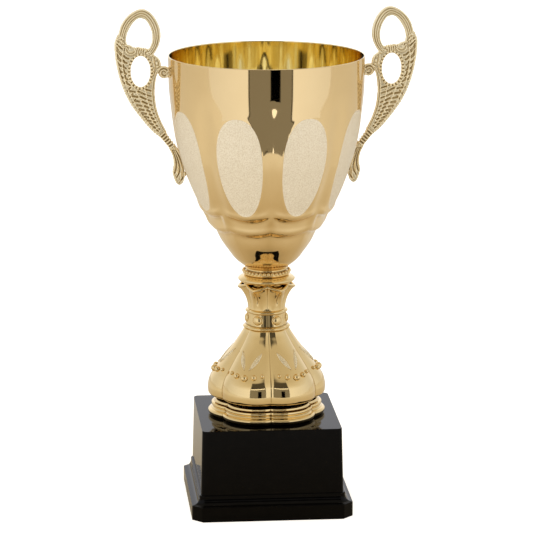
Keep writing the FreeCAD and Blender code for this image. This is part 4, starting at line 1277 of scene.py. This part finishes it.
def make_handles():
    """Both handles from one casting, the right one mirrored."""
    casting = Casting(*HANDLE_SHEET, HANDLE_STEP)
    for add in (add_web, add_oval, add_loop, add_knob, add_crest, add_leaf, add_scroll, add_wraps,
                add_tail):
        add(casting)
    points, faces = casting.body()
    for name, node, side in (("handle_casting_left", "handle_left", 1),
                             ("handle_casting_right", "handle_right", -1)):
        handle = new_piece(name, points * (side, 1, 1), faces, CAST_GOLD, "gold_casting", [node])
        soften(handle.data)
        mark_relief(handle.data, 4, 0.42)


# ---------------------------------------------------------------- the camera and the studio

def place(thing, spot, target):
    """Puts a camera or a lamp at a spot, facing a target."""
    thing.location = spot
    thing.rotation_euler = (Vector(target) - Vector(spot)).to_track_quat("-Z", "Y").to_euler()


CAMERA_TURN, CAMERA_DIP, CAMERA_LENS = 5, 12.66, 195.9
CAMERA_DISTANCE, CAMERA_HEIGHT = 2.33, 0.7215


def make_camera():
    """A long lens a little to the left of the cup's front and a little above it."""
    turn, dip = math.radians(CAMERA_TURN), math.radians(CAMERA_DIP)
    data = bpy.data.cameras.new("camera")
    data.sensor_width = 36
    data.lens = CAMERA_LENS
    data.clip_end = 20
    camera = bpy.data.objects.new("camera", data)
    bpy.context.scene.collection.objects.link(camera)
    spot = Vector((-CAMERA_DISTANCE * math.sin(turn), -CAMERA_DISTANCE * math.cos(turn), CAMERA_HEIGHT))
    ahead = Vector((math.sin(turn) * math.cos(dip), math.cos(turn) * math.cos(dip), -math.sin(dip)))
    place(camera, spot, spot + ahead)
    bpy.context.scene.camera = camera


GAP_HALF_TURN = math.radians(26)
GAP_LIGHT, GAP_SHADE, GAP_TOP = 0.26, 0.085, 0.74
BAR_LOW, BAR_HIGH, BAR_LIGHT = 0.385, 0.43, 1.3
STAND_TURN = math.radians(5.5)
STAND_LOW, STAND_KNEE, STAND_HIGH = -0.30, -0.255, 0.22
FRAME_TURN, FRAME_LIGHT = math.radians(1.2), 0.12
CEILING_LIGHT, FRONT_LIGHT, SIDE_LIGHT, BACK_LIGHT = 0.62, 1.03, 0.75, 0.4
CEILING_START, CEILING_END = 0.35, 0.8
SIDE_TURN, BACK_START, BACK_END = math.radians(115), math.radians(125), math.radians(170)
SOFT_EDGE = 0.01
CAMERA_WHITE = 1.06
LAMP_WAY, LAMP_REACH, LAMP_SOFT, LAMP_LIGHT = (0.03, -0.825, -0.565), 0.078, 0.0004, 1.4
WARM_SHADE, COOL_LIGHT, WARM_CEILING = (1.0, 0.93, 0.80), (1.0, 1.0, 1.04), (1.0, 0.90, 0.72)


def product(world, first, second):
    """Two numbers or outputs multiplied."""
    return calc(world, "MULTIPLY", first, second)


def band(world, value, low, high):
    """1 where value lies between low and high, 0 outside."""
    return product(world, ramp(world, value, 0.0, 1.0, low, low + SOFT_EDGE),
                   ramp(world, value, 1.0, 0.0, high, high + SOFT_EDGE))


def lamp_disc(world, direction):
    """A round lamp low in front: 1 on it, 0 elsewhere."""
    facing = add_node(world, "VectorMath", {0: direction, 1: LAMP_WAY}, operation="DOT_PRODUCT")
    edge = math.cos(LAMP_REACH)
    return ramp(world, facing.outputs["Value"], 0.0, 1.0, edge, edge + LAMP_SOFT)


def stand_shape(world, turn, z):
    """1 on the dark stand in the gap, which narrows to a point at its foot."""
    off = calc(world, "ABSOLUTE", calc(world, "SUBTRACT", turn, STAND_TURN))
    reach = ramp(world, z, 0.1 * STAND_TURN, STAND_TURN, STAND_LOW, STAND_KNEE)
    inside = ramp(world, calc(world, "SUBTRACT", off, reach), 1.0, 0.0, 0.0, SOFT_EDGE)
    return product(world, inside, band(world, z, STAND_LOW, STAND_HIGH))


def gap_light(world, turn, aside, z):
    """The dim room seen between the soft boxes: haze, a stand, a bright bar and a dark upper wall."""
    haze = product(world, calc(world, "SUBTRACT", 1.0, stand_shape(world, turn, z)), GAP_LIGHT)
    upper = ramp(world, z, 1.0, GAP_SHADE / GAP_LIGHT, BAR_HIGH, BAR_HIGH + SOFT_EDGE)
    bar = product(world, band(world, z, BAR_LOW, BAR_HIGH), BAR_LIGHT)
    room = calc(world, "ADD", product(world, haze, upper), bar)
    frame_edge = GAP_HALF_TURN - FRAME_TURN
    return product(world, room, ramp(world, aside, 1.0, FRAME_LIGHT, frame_edge - 0.008, frame_edge))


def wall_light(world, aside, ceiling):
    """The soft boxes' light: less towards the sides, a little more behind, level overhead."""
    fall = ramp(world, aside, FRONT_LIGHT, SIDE_LIGHT, GAP_HALF_TURN, SIDE_TURN)
    sides = calc(world, "ADD", fall, ramp(world, aside, 0.0, BACK_LIGHT, BACK_START, BACK_END))
    level = product(world, calc(world, "SUBTRACT", 1.0, ceiling), sides)
    return calc(world, "ADD", product(world, ceiling, CEILING_LIGHT), level)


def make_world():
    """Soft studio walls: white to the camera; the polish shows a dark gap between two soft boxes."""
    world = bpy.data.worlds.new("studio")
    world.use_nodes = True
    bpy.context.scene.world = world
    direction = add_node(world, "TexCoord").outputs["Generated"]
    x, y, z = add_node(world, "SeparateXYZ", {"Vector": direction}).outputs
    turn = calc(world, "ARCTAN2", x, product(world, y, -1.0))
    aside = calc(world, "ABSOLUTE", turn)
    beside = ramp(world, aside, 0.0, 1.0, GAP_HALF_TURN - SOFT_EDGE, GAP_HALF_TURN + SOFT_EDGE)
    walls = calc(world, "MAXIMUM", beside, ramp(world, z, 0.0, 1.0, GAP_TOP, GAP_TOP + 0.04))
    ceiling = ramp(world, z, 0.0, 1.0, CEILING_START, CEILING_END)
    lit = product(world, walls, wall_light(world, aside, ceiling))
    dim = product(world, calc(world, "SUBTRACT", 1.0, walls), gap_light(world, turn, aside, z))
    lamp = product(world, lamp_disc(world, direction), LAMP_LIGHT)
    shown = calc(world, "MAXIMUM", calc(world, "ADD", lit, dim), lamp)
    seen = add_node(world, "LightPath").outputs["Is Camera Ray"]
    tint = mixed(world, ceiling, ramp(world, shown, WARM_SHADE, COOL_LIGHT, 0.15, 0.8), WARM_CEILING)
    background = world.node_tree.nodes["Background"]
    wire(world, background, Color=mixed(world, seen, tint, (1, 1, 1)),
         Strength=calc(world, "MAXIMUM", shown, product(world, seen, CAMERA_WHITE)))


FLOOR_FRONT, FLOOR_BACK, FLOOR_SIDE = -0.56, 3.4, 3.2
# painted shadow near the foot, warmed as painted bounce light from the gold; plain pale floor further out
FLOOR_NEAR_PAINTED_SHADOW, FLOOR_FAR = (0.68, 0.585, 0.42), (0.92, 0.92, 0.92)
WARM_REACH, PALE_REACH, UNEVEN_REACH = 0.12, 0.5, 0.03
FLOOR_GLOW, FAR_GLOW, GLOW_START, GLOW_END = 0.8, 0.05, 0.35, 0.8


def make_floor():
    """A pale paper floor with a warm painted shadow round the object's foot, and white further out."""
    mesh = bpy.data.meshes.new("floor")
    mesh.from_pydata([(-FLOOR_SIDE, FLOOR_FRONT, 0), (FLOOR_SIDE, FLOOR_FRONT, 0),
                      (FLOOR_SIDE, FLOOR_BACK, 0), (-FLOOR_SIDE, FLOOR_BACK, 0)], [], [(0, 1, 2, 3)])
    floor = bpy.data.objects.new("floor", mesh)
    bpy.context.scene.collection.objects.link(floor)
    paper, shader = new_finish("floor_paper", Roughness=0.8, Emission_Color=(1, 1, 1, 1))
    spot = add_node(paper, "TexCoord").outputs["Object"]
    reach = add_node(paper, "VectorMath", {0: spot}, operation="LENGTH").outputs["Value"]
    uneven = calc(paper, "ADD", reach, ramp(paper, noise(paper, 60), -UNEVEN_REACH, UNEVEN_REACH))
    seen = add_node(paper, "LightPath").outputs["Is Camera Ray"]
    far_glow = ramp(paper, reach, 0.0, FAR_GLOW, GLOW_START, GLOW_END)
    # painted shadow: the base colour is warm and darker close to the foot
    wire(paper, shader, Base_Color=ramp(paper, uneven, FLOOR_NEAR_PAINTED_SHADOW, FLOOR_FAR, WARM_REACH, PALE_REACH),
         Emission_Strength=calc(paper, "MAXIMUM", ramp(paper, seen, 0.0, FLOOR_GLOW), far_glow))
    mesh.materials.append(paper)


SOFT_BOX_SIZE, SOFT_BOX_POWER = 2.0, 34
SOFT_BOX_SPOT, SOFT_BOX_AIM = (-0.4, -2.5, 1.3), (0, 0, 0.25)


def make_front_lamp():
    """A broad soft lamp over the camera that lifts the matt gold and stays out of the polish."""
    data = bpy.data.lights.new("front_soft_box", "AREA")
    data.shape = "SQUARE"
    data.size = SOFT_BOX_SIZE
    data.energy = SOFT_BOX_POWER
    lamp = bpy.data.objects.new("front_soft_box", data)
    bpy.context.scene.collection.objects.link(lamp)
    lamp.visible_glossy = False
    lamp.visible_camera = False
    place(lamp, SOFT_BOX_SPOT, SOFT_BOX_AIM)


for make in (make_camera, make_cup, make_foot, make_bell, make_band, make_crown, make_collar, make_plinth,
             make_handles, make_world, make_floor, make_front_lamp):
    make()
bpy.context.scene.view_settings.view_transform = "Standard"
bpy.context.scene.cycles.max_bounces = 16
bpy.context.scene.cycles.glossy_bounces = 14
